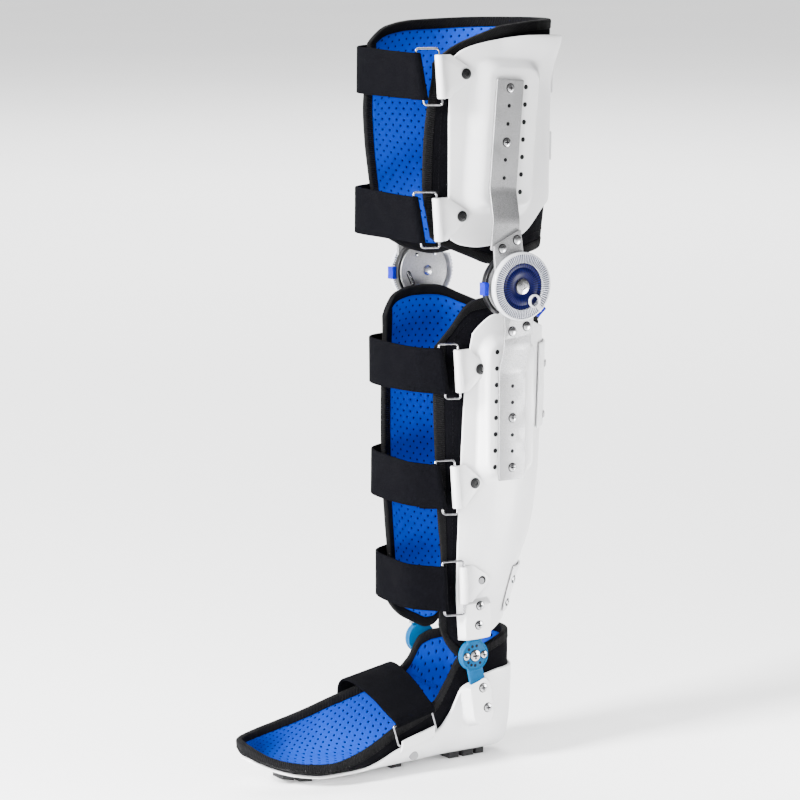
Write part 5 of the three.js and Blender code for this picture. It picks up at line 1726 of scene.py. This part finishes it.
@dataclass(frozen=True)
class StrapSet:
    """The straps of one cuff."""

    body: Body
    leg: Leg
    front: Rows
    shell_front: Rows
    straps: tuple[CuffStrap, ...]

    def route(self, row: CuffStrap) -> Array:
        """Route of a strap in plan: round the ring's wire, across the front and back along the medial wall.

        Args:
            row: The strap.

        Returns:
            Points in X and Y, evenly spaced.
        """
        middle = row.low + STRAP_WIDE / 2
        widest = np.array(row.low + row.rise + STRAP_WIDE)
        edge = float(columns(self.front)[1].at(np.array(middle)))

        def outside(y: float, offset: float) -> Array:
            """Plan point outside the medial wall at a Y."""
            girth = -self.leg.girth(np.array(y), widest)
            return self.leg.point(girth, widest, np.array(offset))[:2]

        clear = STRAP_THICK / 2 + 0.6
        out = 0.6 * row.slack
        corner = outside(edge, LINER_OUT + clear + 1.5)
        wire = np.array(row.wire)
        crossing = min(corner[1] - 7, wire[1] - 3)
        crown = crossing - 4 - row.slack
        towards = math.atan2(crown - wire[1], -wire[0])
        turns = towards + math.pi + np.radians([150, 100, 50, 0, -50, -100])
        wrap = wire + WRAP * np.stack([np.cos(turns), np.sin(turns)], -1)
        lead = np.array([wire[0] - 22, crossing + (crown - crossing) / 3 - 0.5])
        away = lead - wrap[-1]
        behind = 3.3 * unit(np.array([away[1], -away[0]]))
        tail = wrap[-1] + away * np.array([[0.9], [0.4]]) + behind
        front = float(columns(self.shell_front)[0].at(np.array(middle)))
        corners = np.concatenate(
            [
                tail[: 2 * row.sewn],
                wrap,
                [
                    lead,
                    (0, crown),
                    (corner[0] + 16 - out, crossing - 2 - row.slack),
                    (corner[0] + 3 - out, corner[1] - 2 - 0.8 * row.slack),
                    outside(edge + 10, LINER_OUT + clear + 2.5 + out),
                    outside(front - 4, SHELL_OUT + clear + 0.3),
                    outside(-7, SHELL_OUT + clear + 0.3),
                ],
            ]
        )
        return evenly(catmull(corners, 24), 240)

    def strap(self, row: CuffStrap) -> None:
        """Build one strap of webbing, standing on edge along its route, with its stitches.

        Args:
            row: The strap.
        """
        plan = self.route(row)
        normal, run = beside(plan), lengths(plan)
        steps = np.linspace(0, 1, len(plan))
        leaning = 1 - smooth(run - 25 * row.sewn, 15, 95)

        def place(u: Array, v: Array, offset: Array) -> Array:
            """Point of the strap along its route and up its width, leaning with the ring near it."""
            wave = 0.5 * np.sin(u * 23 + row.low) * (v - 0.5)
            spot = sampled(u, steps, plan) + sampled(u, steps, normal) * (offset + wave)[..., None]
            y = spot[..., 1] - row.lean * (v - 0.5) * np.interp(u, steps, leaning)
            return np.stack([spot[..., 0], y, row.low + v * STRAP_WIDE + row.rise * u], -1)

        u, v = edged(230, run[-1], 1.2), edged(16, STRAP_WIDE, 1.2)
        web = pillow(place, u, v, 0.0, STRAP_THICK / 2, 1.2)
        node = f"{self.body.value}_strap_{row.at}"
        piece = add_piece(f"{node}_web", [web], Looks.WEBBING, self.body, node)
        lines = []
        across = np.linspace(0.06, 0.94, 40)
        for gap in (44.0, 48.0):
            along = np.full_like(across, gap / run[-1])
            face = place(along, across, np.full_like(across, -STRAP_THICK / 2 - 0.05))
            out = place(along, across, np.full_like(across, -STRAP_THICK)) - face
            lines.append(stitches(face, out, 3.6, 2.5, 0.4))
        add_piece(f"{node}_stitches", lines, Looks.THREAD, self.body)

    def ring(self, row: CuffStrap) -> None:
        """Build the wire ring between the bracket's sleeve and the strap.

        Args:
            row: The strap.
        """
        middle = row.low + STRAP_WIDE / 2
        sleeve, wire = np.array([*row.sleeve, middle]), np.array([*row.wire, middle])
        across = wire - sleeve
        span = np.linalg.norm(across)
        outline = round_profile(span, STRAP_WIDE + 9, 3, 8)
        path = (sleeve + wire) / 2 + outline[:, :1] * across / span + outline[:, 1:] * np.array([0, 0, 1.0])
        share = SLEEVE_LEAN + (1 - SLEEVE_LEAN) * (outline[:, 0] / span + 0.5)
        path[:, 1] -= row.lean * share * outline[:, 1] / STRAP_WIDE
        node = f"{self.body.value}_ring_{row.at}"
        add_piece(f"{node}_wire", [tube(path, WIRE_LOOK)], Looks.CHROME, self.body, node)

    def bracket(self, row: CuffStrap) -> None:
        """Build the bracket: a plate from its rivet to a rolled sleeve round the ring's inner wire.

        Args:
            row: The strap.
        """
        low, high = max(row.low + 2, 177), row.low + STRAP_WIDE - 2
        y, z = row.rivet
        girth = self.leg.girth(np.array(y + 8.0), np.array(high))
        x = float(self.leg.point(girth, np.array(high), np.array(SHELL_OUT))[0]) + GAP
        shoulder = row.sleeve[1] + 12
        sweep = np.linspace(1.1, -1.1, 9)
        end = np.stack([y + 8 * np.cos(sweep), z + 8 * np.sin(sweep)], -1)
        tilt = row.lean * SLEEVE_LEAN / STRAP_WIDE
        middle = row.low + STRAP_WIDE / 2
        front = [(row.sleeve[1] - tilt * (height - middle), height) for height in (low, high)]
        outline = np.concatenate([front, [(shoulder, high)], end, [(shoulder, low)]])
        face = x + 1.8
        leaf = plate(y, z, outline, 6.0, x, face, 0.6, 200)
        turns = 32
        angle = (np.arange(turns) * 2 * np.pi / turns)[:, None]
        radius = np.array([1.8, 4.2, 4.6, 4.6, 4.2, 1.8])
        spots = np.array([-1, -1, -0.96, 0.96, 1, 1]) * (high - low) / 2 + (high + low) / 2
        points = np.stack(
            [
                row.sleeve[0] + np.cos(angle) * radius,
                row.sleeve[1] + np.sin(angle) * radius - tilt * (spots - middle),
                spots + 0 * angle,
            ],
            -1,
        )
        roll = grid(points, np.arange(turns + 1.0), np.arange(7.0), wrap_along=True, wrap_across=True)
        node = f"{self.body.value}_bracket_{row.at}"
        add_piece(f"{node}_leaf", [leaf, roll], Looks.WHITE, self.body, node)
        if self.body is Body.THIGH or row.at != "lower":
            rivet = f"{self.body.value}_rivet_{row.at}"
            head = Screw(y, z, face, 5.6, 2.2, Recess.HEX).head()
            add_piece(f"{rivet}_head", [head], Looks.BLACK, self.body, rivet)
        else:
            hole = plate(y, z, None, 4.6, face - 1, face + 0.1, 0.05, 32)
            add_piece(f"{node}_hole", [hole], Looks.HOLE_AND_PAINTED_SHADE, self.body)
            end_face = Screw(y - 0.8, z - 0.9, face, 3.3, 0.5, Recess.NONE).head()
            add_piece(f"{node}_rivet", [end_face], Looks.FROSTED, self.body)

    def build(self) -> None:
        """Build every strap of the cuff."""
        for row in self.straps:
            self.ring(row)
            self.strap(row)
            self.bracket(row)


# Foot.


class Station(IntEnum):
    """Columns of the boot's stations. SHELL and RIM are lateral heights, each followed by the medial one."""

    Y = 0
    LATERAL = 1
    MEDIAL = 2
    SOLE = 3
    SHELL = 4
    RIM = 6


@dataclass(frozen=True)
class Boot:
    """Padded boot in its white shell, with its strap, ring and tread."""

    stations: Rows
    corner: float = 0.625
    floor_rise: float = 3.9
    spine_end: float = 6.0
    boss_x: float = 57.0
    lugs: Rows = (
        (-208, -194, 9), (-189, -174, 12), (-78.5, -65.5, 14), (-5.5, 6.5, 15), (12, 25, 15),
        (29.5, 39.5, 13),
    )

    @property
    def last(self) -> int:
        """Number of the last station, at the toes."""
        return len(self.stations) - 1

    def column(self, index: int, t: Array) -> Array:
        """Return one column of the stations at places along them; only Y has level ends."""
        values = tuple(row[index] for row in self.stations)
        return Column(tuple(range(len(values))), values, index == Station.Y).at(t)

    def height(self, index: int, t: Array, side: Array) -> Array:
        """Return a height of the lateral side, or of the medial side from the next column."""
        return np.where(side > 0, self.column(index, t), self.column(index + 1, t))

    def sole(self) -> Column:
        """Return the sole's height as a curve over Y."""
        rows = sorted(self.stations)
        return Column(tuple(row[Station.Y] for row in rows), tuple(row[Station.SOLE] for row in rows))

    def rim(self, t: Array, side: Array, offset: Array) -> tuple[Array, Array]:
        """Plan point of the outline at a station, moved outwards.

        Args:
            t: Station, from the heel to the toes.
            side: 1 for lateral, -1 for medial.
            offset: Distance outwards.

        Returns:
            X and Y.
        """
        step = 1e-3
        places = np.stack([np.clip(t - step, 0, self.last), t, np.clip(t + step, 0, self.last)])
        x = np.where(side > 0, self.column(Station.LATERAL, places), -self.column(Station.MEDIAL, places))
        y = self.column(Station.Y, places)
        dx, dy = x[2] - x[0], y[2] - y[0]
        length = np.hypot(dx, dy)
        return x[1] - dy / length * side * offset, y[1] + dx / length * side * offset

    def point(self, t: Array, across: Array, offset: Array) -> Array:
        """Point of the bowl: across runs from -1 at the medial rim to 1 at the lateral rim.

        With a quarter turn from the spine to the rim, the point is sin^0.625 of the way out and 1 - cos^0.625
        of the way up, which makes a flat floor and upright walls.

        Args:
            t: Station, from the heel to the toes.
            across: Share of the way across.
            offset: Distance outwards.

        Returns:
            Points, with a last axis of 3.
        """
        side = np.where(across < 0, -1.0, 1.0)
        angle = np.clip(np.abs(across), 0, 1) * np.pi / 2
        out = np.sin(angle) ** self.corner
        rise = 1 - np.maximum(np.cos(angle), 0) ** self.corner
        rim_x, rim_y = self.rim(t, side, offset)
        spine_x = (self.column(Station.LATERAL, t) - self.column(Station.MEDIAL, t)) / 2
        heel, toe = (self.stations[end][Station.Y] for end in (0, -1))
        spine_y = np.clip(self.column(Station.Y, t), toe + self.spine_end, heel - self.spine_end)
        low = self.sole().at(spine_y)
        floor = low + (self.column(Station.SOLE, t) - low) * out + self.floor_rise - offset
        top = self.height(Station.RIM, t, side)
        x, y = spine_x + (rim_x - spine_x) * out, spine_y + (rim_y - spine_y) * out
        return np.stack([x, y, floor + (top - floor) * rise], -1)

    def below(self, t: Array, side: Array, drop: Array) -> Array:
        """Share of the way across at which the wall is a given height below its rim.

        Args:
            t: Station.
            side: 1 for lateral, -1 for medial.
            drop: Height below the rim.

        Returns:
            The share, unsigned.
        """
        depth = self.height(Station.RIM, t, side) - self.column(Station.SOLE, t) - self.floor_rise
        share = np.clip(drop / depth, 0, 0.97)
        return np.arccos(share ** (1 / self.corner)) / (np.pi / 2)

    def under_tape(self, t: Array, side: Array) -> Array:
        """Return how far below the rim the padding ends, under the binding."""
        return BINDING - 0.6 + 0 * t * side

    def under_rim(self, t: Array, side: Array) -> Array:
        """Return how far below the rim the shell ends."""
        return self.height(Station.RIM, t, side) - self.height(Station.SHELL, t, side)

    def bowl(
        self,
        inner: float,
        outer: float,
        drop: Callable[[Array, Array], Array],
        shape: Callable[[Array], Array] | None = None,
    ) -> Surface:
        """Bowl between two offsets, up to a height below the rim.

        Args:
            inner: Inner offset.
            outer: Outer offset.
            drop: Height below the rim for a station and side.
            shape: Further change to the outer points.

        Returns:
            The closed surface.
        """

        def place(u: Array, v: Array, offset: Array) -> Array:
            """Point of the bowl at a share of its length and of its girth."""
            t = u * self.last
            signed = 2 * v - 1
            side = np.where(signed < 0, -1.0, 1.0)
            reach = np.abs(signed) ** 1.5 * self.below(t, side, drop(t, side))
            return self.point(t, side * reach, offset)

        rim = 1.5
        u, v = np.linspace(0, 1, 190), edged(96, 190, rim)
        return pillow(place, u, v, (inner + outer) / 2, (outer - inner) / 2, rim, False, shape)

    def build(self) -> None:
        """Build the boot."""
        inner = self.bowl(-LINER_OUT, -3.8, self.under_tape)
        lining = add_piece("foot_lining_cloth", [inner], Looks.LINING, Body.FOOT, "foot_lining")
        outer = self.bowl(-3.2, 0.0, self.under_tape)
        liner = add_piece("foot_liner_cloth", [outer], Looks.LINER, Body.FOOT, "foot_liner")
        self.binding()
        self.shell()
        self.ring_and_strap()
        self.tread()

    def edge(self, drop: Array, offset: Array) -> Array:
        """Points round the rim at heights below it and offsets from the padded wall's outer face.

        Args:
            drop: Heights below the rim, less than 0 above it.
            offset: Offsets at those heights.

        Returns:
            Loop points by heights by 3.
        """
        half = np.linspace(0, self.last, 260)
        t = np.concatenate([half, half[-2:0:-1]])[:, None]
        side = np.where(np.arange(len(t)) < len(half), 1.0, -1.0)[:, None]
        reach = self.below(t, side, np.maximum(drop, 0) + 0 * t)
        points = self.point(t + 0 * drop, side * reach, offset + 0 * t)
        points[..., 2] += np.maximum(-drop, 0)
        return points

    def binding(self) -> None:
        """Build the tape folded round the rim, and its stitches."""
        tape = folded_tape(self.edge, -LINER_OUT, 2.0, 2.6)
        piece = add_piece("foot_binding_tape", [tape], Looks.TAPE, Body.FOOT, "foot_binding")
        hems = ((8.2, 0.4, 1), (8.2, -LINER_OUT - 0.4, -1))
        add_piece("foot_stitches", hem_stitches(self.edge, hems), Looks.THREAD, Body.FOOT)

    def shell(self) -> None:
        """Build the white shell with a boss over each ankle arm, its screws and dimples."""
        boss = Pad(8, 69, 26, 50, 11, self.boss_x, (4, 4, 4, 4), 0.16)
        outer = 3.9
        bowl = self.bowl(0.9, outer, self.under_rim, boss.raised)
        add_piece("foot_shell_skin", [bowl], Looks.WHITE, Body.FOOT, "foot_shell")
        spots = ((8.5, 84), (14.5, 62))
        # dark holds painted shade: shadow rings under the screw heads and dark recess floors.
        heads, dark = screw_parts([Screw(y, z, self.boss_x, 4.4, SCREW_TALL) for y, z in spots])
        add_piece("foot_shell_screws", both_sides(heads), Looks.BRIGHT, Body.FOOT)
        add_piece("foot_shell_screw_painted_shade", both_sides(dark), Looks.HOLE_AND_PAINTED_SHADE, Body.FOOT)
        spot = self.wall_point(np.array(-69.0), np.array(22.0), np.array(outer))
        dimple = seated(plate(0, 0, None, 5.0, -5, 2.4, 0.5, 40), spot, np.array([1.0, -0.2, -0.2]))
        add_piece("foot_shell_dimple", [dimple], Looks.FROSTED, Body.FOOT)
        self.tab()
        self.seam()

    def station(self, y: Array) -> Array:
        """Return the station at a Y."""
        dense = np.linspace(0, self.last, 2000)
        return np.interp(-y, -self.column(Station.Y, dense), dense)

    def wall_point(self, y: Array, z: Array, offset: Array, side: float = 1.0) -> Array:
        """Point of a side wall at a Y and a height.

        Args:
            y: Y of the station.
            z: Height.
            offset: Distance outwards.
            side: 1 for lateral, -1 for medial.

        Returns:
            Points, with a last axis of 3.
        """
        t = self.station(y)
        sides = np.full_like(t, side)
        drop = np.maximum(self.height(Station.RIM, t, sides) - z, 0)
        return self.point(t, sides * self.below(t, sides, drop), offset)

    def tab(self) -> None:
        """Build the rolled tab of the shell that holds the ring's lower wire."""
        long, tall = 44, 16

        def place(u: Array, v: Array, offset: Array) -> Array:
            """Point of the tab along the shell's edge and up from it."""
            y = -90 + long * u
            z = self.column(Station.SHELL, self.station(y)) - 7 + tall * v
            return self.wall_point(y, z, offset + 2.2 * smooth(v, 0.1, 0.5))

        roll = pillow(place, edged(40, long, 1.5), edged(14, tall, 1.2), 3.2, 1.2, 1.2)
        add_piece("foot_shell_tab", [roll], Looks.WHITE, Body.FOOT)

    def seam(self) -> None:
        """Stitch the lower hem of the ankle's lining, in two rows down the medial wall."""
        u = np.linspace(0, 1, 80)
        rows = []
        for drop in (0.0, 5.0):
            y, z = -31 + 52 * u, 87 - 28 * u - drop
            offsets = (-LINER_OUT - 0.1, -LINER_OUT - 1.1)
            face, out = (self.wall_point(y, z, offset, -1.0) for offset in offsets)
            rows.append(stitches(face, out - face, 4.0, 3.0, 0.6))
        add_piece("foot_lining_hem", rows, Looks.BLUE_THREAD, Body.FOOT)

    def ring_and_strap(self) -> None:
        """Build the ring on the lateral wall and the strap over the instep."""
        centre = np.array([49.2, -71.8, 50.0])
        along = unit(np.array([-0.09, 1.0, 0.2]))
        middle_y = -74.0
        across = np.array([-3.6, 9.0, -23.0])
        outline = round_profile(1, 51, 0, 0)
        corners = centre + outline[:, :1] * across + outline[:, 1:] * along
        path = rounded_loop(corners, 3.0)
        add_piece("foot_ring_wire", [tube(path, WIRE_LOOK)], Looks.CHROME, Body.FOOT, "foot_ring")
        wire = centre - across / 2
        wire = wire + along * (middle_y - wire[1]) / along[1]
        route = np.array(
            [
                (36, 72.5), (16, 82), (-8, 90), (-30, 94), (-43, 92), (-49.5, 85), (-50, 70), (-47.2, 51),
                (-43.5, 30),
            ]
        )
        towards = math.atan2(route[0, 1] - wire[2], route[0, 0] - wire[0])
        turns = towards + math.pi + np.radians([0, 50, 100])
        wrap = wire[[0, 2]] + WRAP * np.stack([np.cos(turns), np.sin(turns)], -1)
        section = evenly(catmull(np.concatenate([wrap, route]), 24), 200)
        normal, run = beside(section), lengths(section)
        steps = np.linspace(0, 1, len(section))

        def place(u: Array, v: Array, offset: Array) -> Array:
            """Point of the strap along its section and across its width."""
            aside = (v - 0.5) * (50 + 14 * u)
            base = sampled(u, steps, section)
            spot = base + sampled(u, steps, normal) * offset[..., None]
            taper = np.where(base[..., 0] > 0, 0.0017, 0.0006)
            x, z = spot[..., 0] * (1 - taper * aside), spot[..., 1] + 0.2 * aside
            return np.stack([x, middle_y + aside, z], -1)

        web = pillow(place, edged(190, run[-1], 1.2), edged(18, 56, 1.2), 0.0, STRAP_THICK / 2, 1.2)
        piece = add_piece("foot_strap_web", [web], Looks.WEBBING, Body.FOOT, "foot_strap")

    def tread(self) -> None:
        """Build the lugs under the sole: blocks from inside the shell's floor down to the ground."""
        blocks = []
        for start, end, wide in self.lugs:
            y = np.array([start, end])
            top = self.sole().at(y)
            corners = [*zip(y, top - 6), *zip(y[::-1], top[::-1] + 1)]
            blocks.append(plate(y.mean(), top.mean() - 2.5, np.array(corners), 0.5, -wide - 2, wide, 0.7, 60))
        add_piece("tread_lugs", blocks, Looks.RUBBER, Body.FOOT, "tread")


# Stage.


@dataclass(frozen=True)
class Studio:
    """Camera, floor and soft light."""

    azimuth: float = 57.0
    elevation: float = 8.8
    distance: float = 3.4
    centre: tuple[float, ...] = (0.0165, -0.069, 0.39)
    lens: float = 148.5

    def build(self) -> None:
        """Set up the stage."""
        self.camera()
        self.floor()
        self.lights()

    def camera(self) -> None:
        """Aim the camera from where the photograph was taken."""
        azimuth, elevation = math.radians(self.azimuth), math.radians(self.elevation)
        level = math.cos(elevation)
        back = Vector((math.sin(azimuth) * level, -math.cos(azimuth) * level, math.sin(elevation)))
        data = bpy.data.cameras.new("camera")
        data.lens = self.lens
        data.sensor_width = 36.0
        data.clip_end = 50.0
        camera = bpy.data.objects.new("camera", data)
        camera.location = Vector(self.centre) + back * self.distance
        camera.rotation_euler = (-back).to_track_quat("-Z", "Y").to_euler()
        bpy.context.scene.collection.objects.link(camera)
        bpy.context.scene.camera = camera

    def floor(self) -> None:
        """Lay a large pale floor."""
        half = 40.0
        mesh = bpy.data.meshes.new("floor")
        corners = [(-half, -half, 0), (half, -half, 0), (half, half, 0), (-half, half, 0)]
        mesh.from_pydata(corners, [], [(0, 1, 2, 3)])
        material = bpy.data.materials.new("pale floor")
        graph = Graph(material)
        where = graph.add("ShaderNodeTexCoord").outputs["Object"]
        tone = graph.between(graph.noise(where, 0.6), 0.3, 0.7)
        shader = graph.add(
            "ShaderNodeBsdfPrincipled",
            {"Base Color": graph.mix(tone, (0.93, 0.93, 0.93, 1), (0.91, 0.91, 0.915, 1)), "Roughness": 0.8},
        )
        graph.add("ShaderNodeOutputMaterial", {"Surface": shader.outputs[0]})
        mesh.materials.append(material)
        floor = bpy.data.objects.new("floor", mesh)
        bpy.context.scene.collection.objects.link(floor)

    def lights(self) -> None:
        """Light the object from soft panels and a surround that is white to the left and dim to the right."""
        world = bpy.data.worlds.new("surround")
        graph = Graph(world)
        where = graph.add("ShaderNodeTexCoord").outputs["Object"]
        turn = math.radians(self.azimuth)
        right = graph.add("ShaderNodeVectorMath", operation="DOT_PRODUCT")
        right.inputs[1].default_value = (math.cos(turn), math.sin(turn), 0)
        world.node_tree.links.new(where, right.inputs[0])
        level = graph.between(right.outputs["Value"], 0.14, 0.4, 2.0, 0.2)
        glow = graph.add("ShaderNodeBackground", {"Color": (1, 1, 1, 1), "Strength": level})
        graph.add("ShaderNodeOutputWorld", {"Surface": glow.outputs[0]})
        bpy.context.scene.world = world
        for name, place, target, size, power in (
            ("key", (0.15, -2.9, 1.75), (0, 0, 0.4), 0.7, 580),
            ("fill", (0.5, -1.0, 0.09), (0.04, 0, 0.09), 0.4, 36),
            ("side", (0.5, 0.6, 0.16), (0.04, 0.02, 0.1), 0.35, 10),
            ("backdrop", (-5.0, 3.2, 5.0), (-5.0, 3.2, 0), 6.0, 900),
        ):
            data = bpy.data.lights.new(name, "AREA")
            data.size = size
            data.energy = power
            lamp = bpy.data.objects.new(name, data)
            lamp.visible_camera = False
            lamp.location = place
            aim = Vector(target) - Vector(place)
            lamp.rotation_euler = aim.to_track_quat("-Z", "Y").to_euler()
            bpy.context.scene.collection.objects.link(lamp)


THIGH_FRONT: Rows = ((530, -58, -50), (600, -67, -60), (640, -66.5, -64), (690, -64.5, -66), (760, -56, -60))
CALF_FRONT: Rows = ((130, -38, -50), (200, -44, -54), (260, -44.6, -53.5), (400, -46, -50), (470, -44, -47))
THIGH_SHELL_FRONT: Rows = ((540, -38), (600, -41), (690, -41), (760, -38))
CALF_SHELL_FRONT: Rows = ((130, -16), (200, -20), (320, -19), (440, -15), (480, -8))

THIGH_CUFF = Cuff(
    Body.THIGH, THIGH_LEG, THIGH_FRONT,
    (
        (-1.95, 585, 734), (-1.8, 566, 757), (-1.6, 550, 770), (-1.3, 536, 775), (-1, 530, 776),
        (-0.6, 539, 777), (0, 542, 777), (0.6, 539, 777), (1, 530, 773), (1.14, 531, 769),
        (1.36, 539, 762), (1.56, 547, 754), (1.69, 552, 746), (1.81, 560, 736), (1.93, 572, 720),
    ),
    (0.023, 0.042),
)
CALF_CUFF = Cuff(
    Body.CALF, CALF_LEG, CALF_FRONT,
    (
        (-1.78, 230, 452), (-1.66, 196, 480), (-1.56, 173, 491), (-1.44, 157, 495), (-1.3, 146, 497),
        (-1.15, 138.5, 497), (-1, 132, 496),
        (-0.9, 133, 493), (-0.75, 144, 485), (-0.5, 151, 475), (0, 152, 472), (0.5, 151, 475),
        (0.75, 146, 485), (0.9, 134, 493), (1, 117, 496), (1.1, 115, 496), (1.2, 121, 495),
        (1.3, 133, 493), (1.38, 150, 488),
        (1.44, 170, 481), (1.52, 194, 469), (1.75, 230, 440),
    ),
    (0.028, 0.028),
)
THIGH_SHELLS = HalfShells(
    Body.THIGH, THIGH_LEG, THIGH_SHELL_FRONT,
    (
        (0, 596, 760), (0.5, 584, 762), (0.8, 559, 763), (1.05, 551, 760), (1.3, 549, 756), (1.5, 552, 750),
        (1.66, 560, 738),
    ),
    (Pad(28.5, 661, 58, 138, 10, 75.5, (22, 11, 12, 10), -THIGH_LEAN),),
    ((630, 660, 0.2), (700, 730, 0.2)),
    tuple((75.5, 45.8 - 1.12 * k, 710.8 - 17.8 * k, 2.6) for k in range(7)),
    (),
    flare=(690, 762, 12),
)
CALF_SHELLS = HalfShells(
    Body.CALF, CALF_LEG, CALF_SHELL_FRONT,
    (
        (0, 154, 452), (0.5, 147, 462), (0.75, 140, 474), (0.95, 137, 480), (1.1, 136, 478), (1.25, 137, 468),
        (1.42, 142, 446),
    ),
    (Pad(32, 381, 54, 132, 10, 73.5, (10, 9, 12, 10)), Pad(1.5, 156.5, 31, 37, 3, 58, (4, 4, 4, 4))),
    ((352, 442, 0.52), (158, 206, 0.56)),
    tuple((73.5, 13.2 - 0.35 * k, 440.3 - 17.1 * k, 2.6) for k in range(8)),
    ((58, 3.4, 172.5, 4.2), (58, 2.2, 152, 4.2)),
    ((0.34, 418), (0.34, 364), (0.5, 192), (0.5, 168)),
)
THIGH_STRAPS = StrapSet(
    Body.THIGH, THIGH_LEG, THIGH_FRONT, THIGH_SHELL_FRONT,
    (
        CuffStrap("upper", 700, 4, 0, 9, True, (69.6, -55), (61, -74), (-24, 726)),
        CuffStrap("lower", 556, 4, 0, 9, True, (69.6, -58), (61, -77), (-28, 582)),
    ),
)
CALF_STRAPS = StrapSet(
    Body.CALF, CALF_LEG, CALF_FRONT, CALF_SHELL_FRONT,
    (
        CuffStrap("upper", 399, 3, 7, 8, True, (66.5, -29.5), (60.5, -46.5), (-3, 423)),
        CuffStrap("middle", 278, 8, 4, 9, True, (62.8, -30.5), (57, -47.5), (-7, 304)),
        CuffStrap("lower", 170, 8, 1, 3, False, (58.2, -17), (52.6, -39), (7, 199)),
    ),
)
THIGH_STRUT = Strut(
    Body.THIGH, 16, 75.5, 85.8, THIGH_LEAN, (720, 607, 577, 546), (711, 656), (693, 674.5, 638, 619.5)
)
CALF_STRUT = Strut(
    Body.CALF, 30.3, 73.5, 82.5, 0.0, (306, 420, 446, 472), (371, 319), (404, 387, 353, 336)
)
BOOT = Boot(
    (
        (69.5, 0, 0, 9, 99, 99, 136, 136), (67.8, 12, 12, 8, 99, 99, 136, 136),
        (62.8, 23, 23, 7, 99, 99, 135.5, 136), (54.2, 32, 32, 6, 99, 99, 134, 135),
        (41, 38, 38, 6, 99, 99, 131, 133.5), (22, 40.2, 40.2, 6, 96, 96, 125, 129.5),
        (6, 40.2, 40.2, 6, 90, 90, 121, 128.5), (-8, 40.2, 40.2, 6, 85, 85, 117, 124),
        (-24, 40.2, 40.2, 6, 58, 58, 93, 101.5), (-39, 41.5, 40.8, 6, 44, 41, 73, 90),
        (-62, 44, 42, 6, 38, 34, 63, 86), (-92, 47, 44, 6, 31, 27, 53, 77),
        (-118, 49, 46, 6, 20, 20, 40.5, 70), (-140, 50, 48, 6, 13, 14, 32, 63),
        (-172, 48, 49, 6, 12, 12, 25, 55), (-200, 41, 47, 10, 15, 15, 27, 50),
        (-222, 28, 42, 17, 21, 21, 31, 47), (-236, 12, 34, 24, 28, 28, 37, 46),
        (-242, -2, 26, 28, 32, 32, 42, 46), (-244, -13, 13, 30, 34, 34, 45, 45),
    )
)


def main() -> None:
    """Build every sub-assembly in order and note the sizes."""
    logging.basicConfig(level=logging.INFO, format="%(message)s")
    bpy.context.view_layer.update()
    for part in (
        Studio(), THIGH_CUFF, CALF_CUFF, THIGH_SHELLS, CALF_SHELLS, THIGH_STRUT, CALF_STRUT,
        *(KneeHinge(*side) for side in SIDES), AnkleHinge(), THIGH_STRAPS, CALF_STRAPS, BOOT,
    ):
        part.build()


if __name__ == "__main__":
    main()
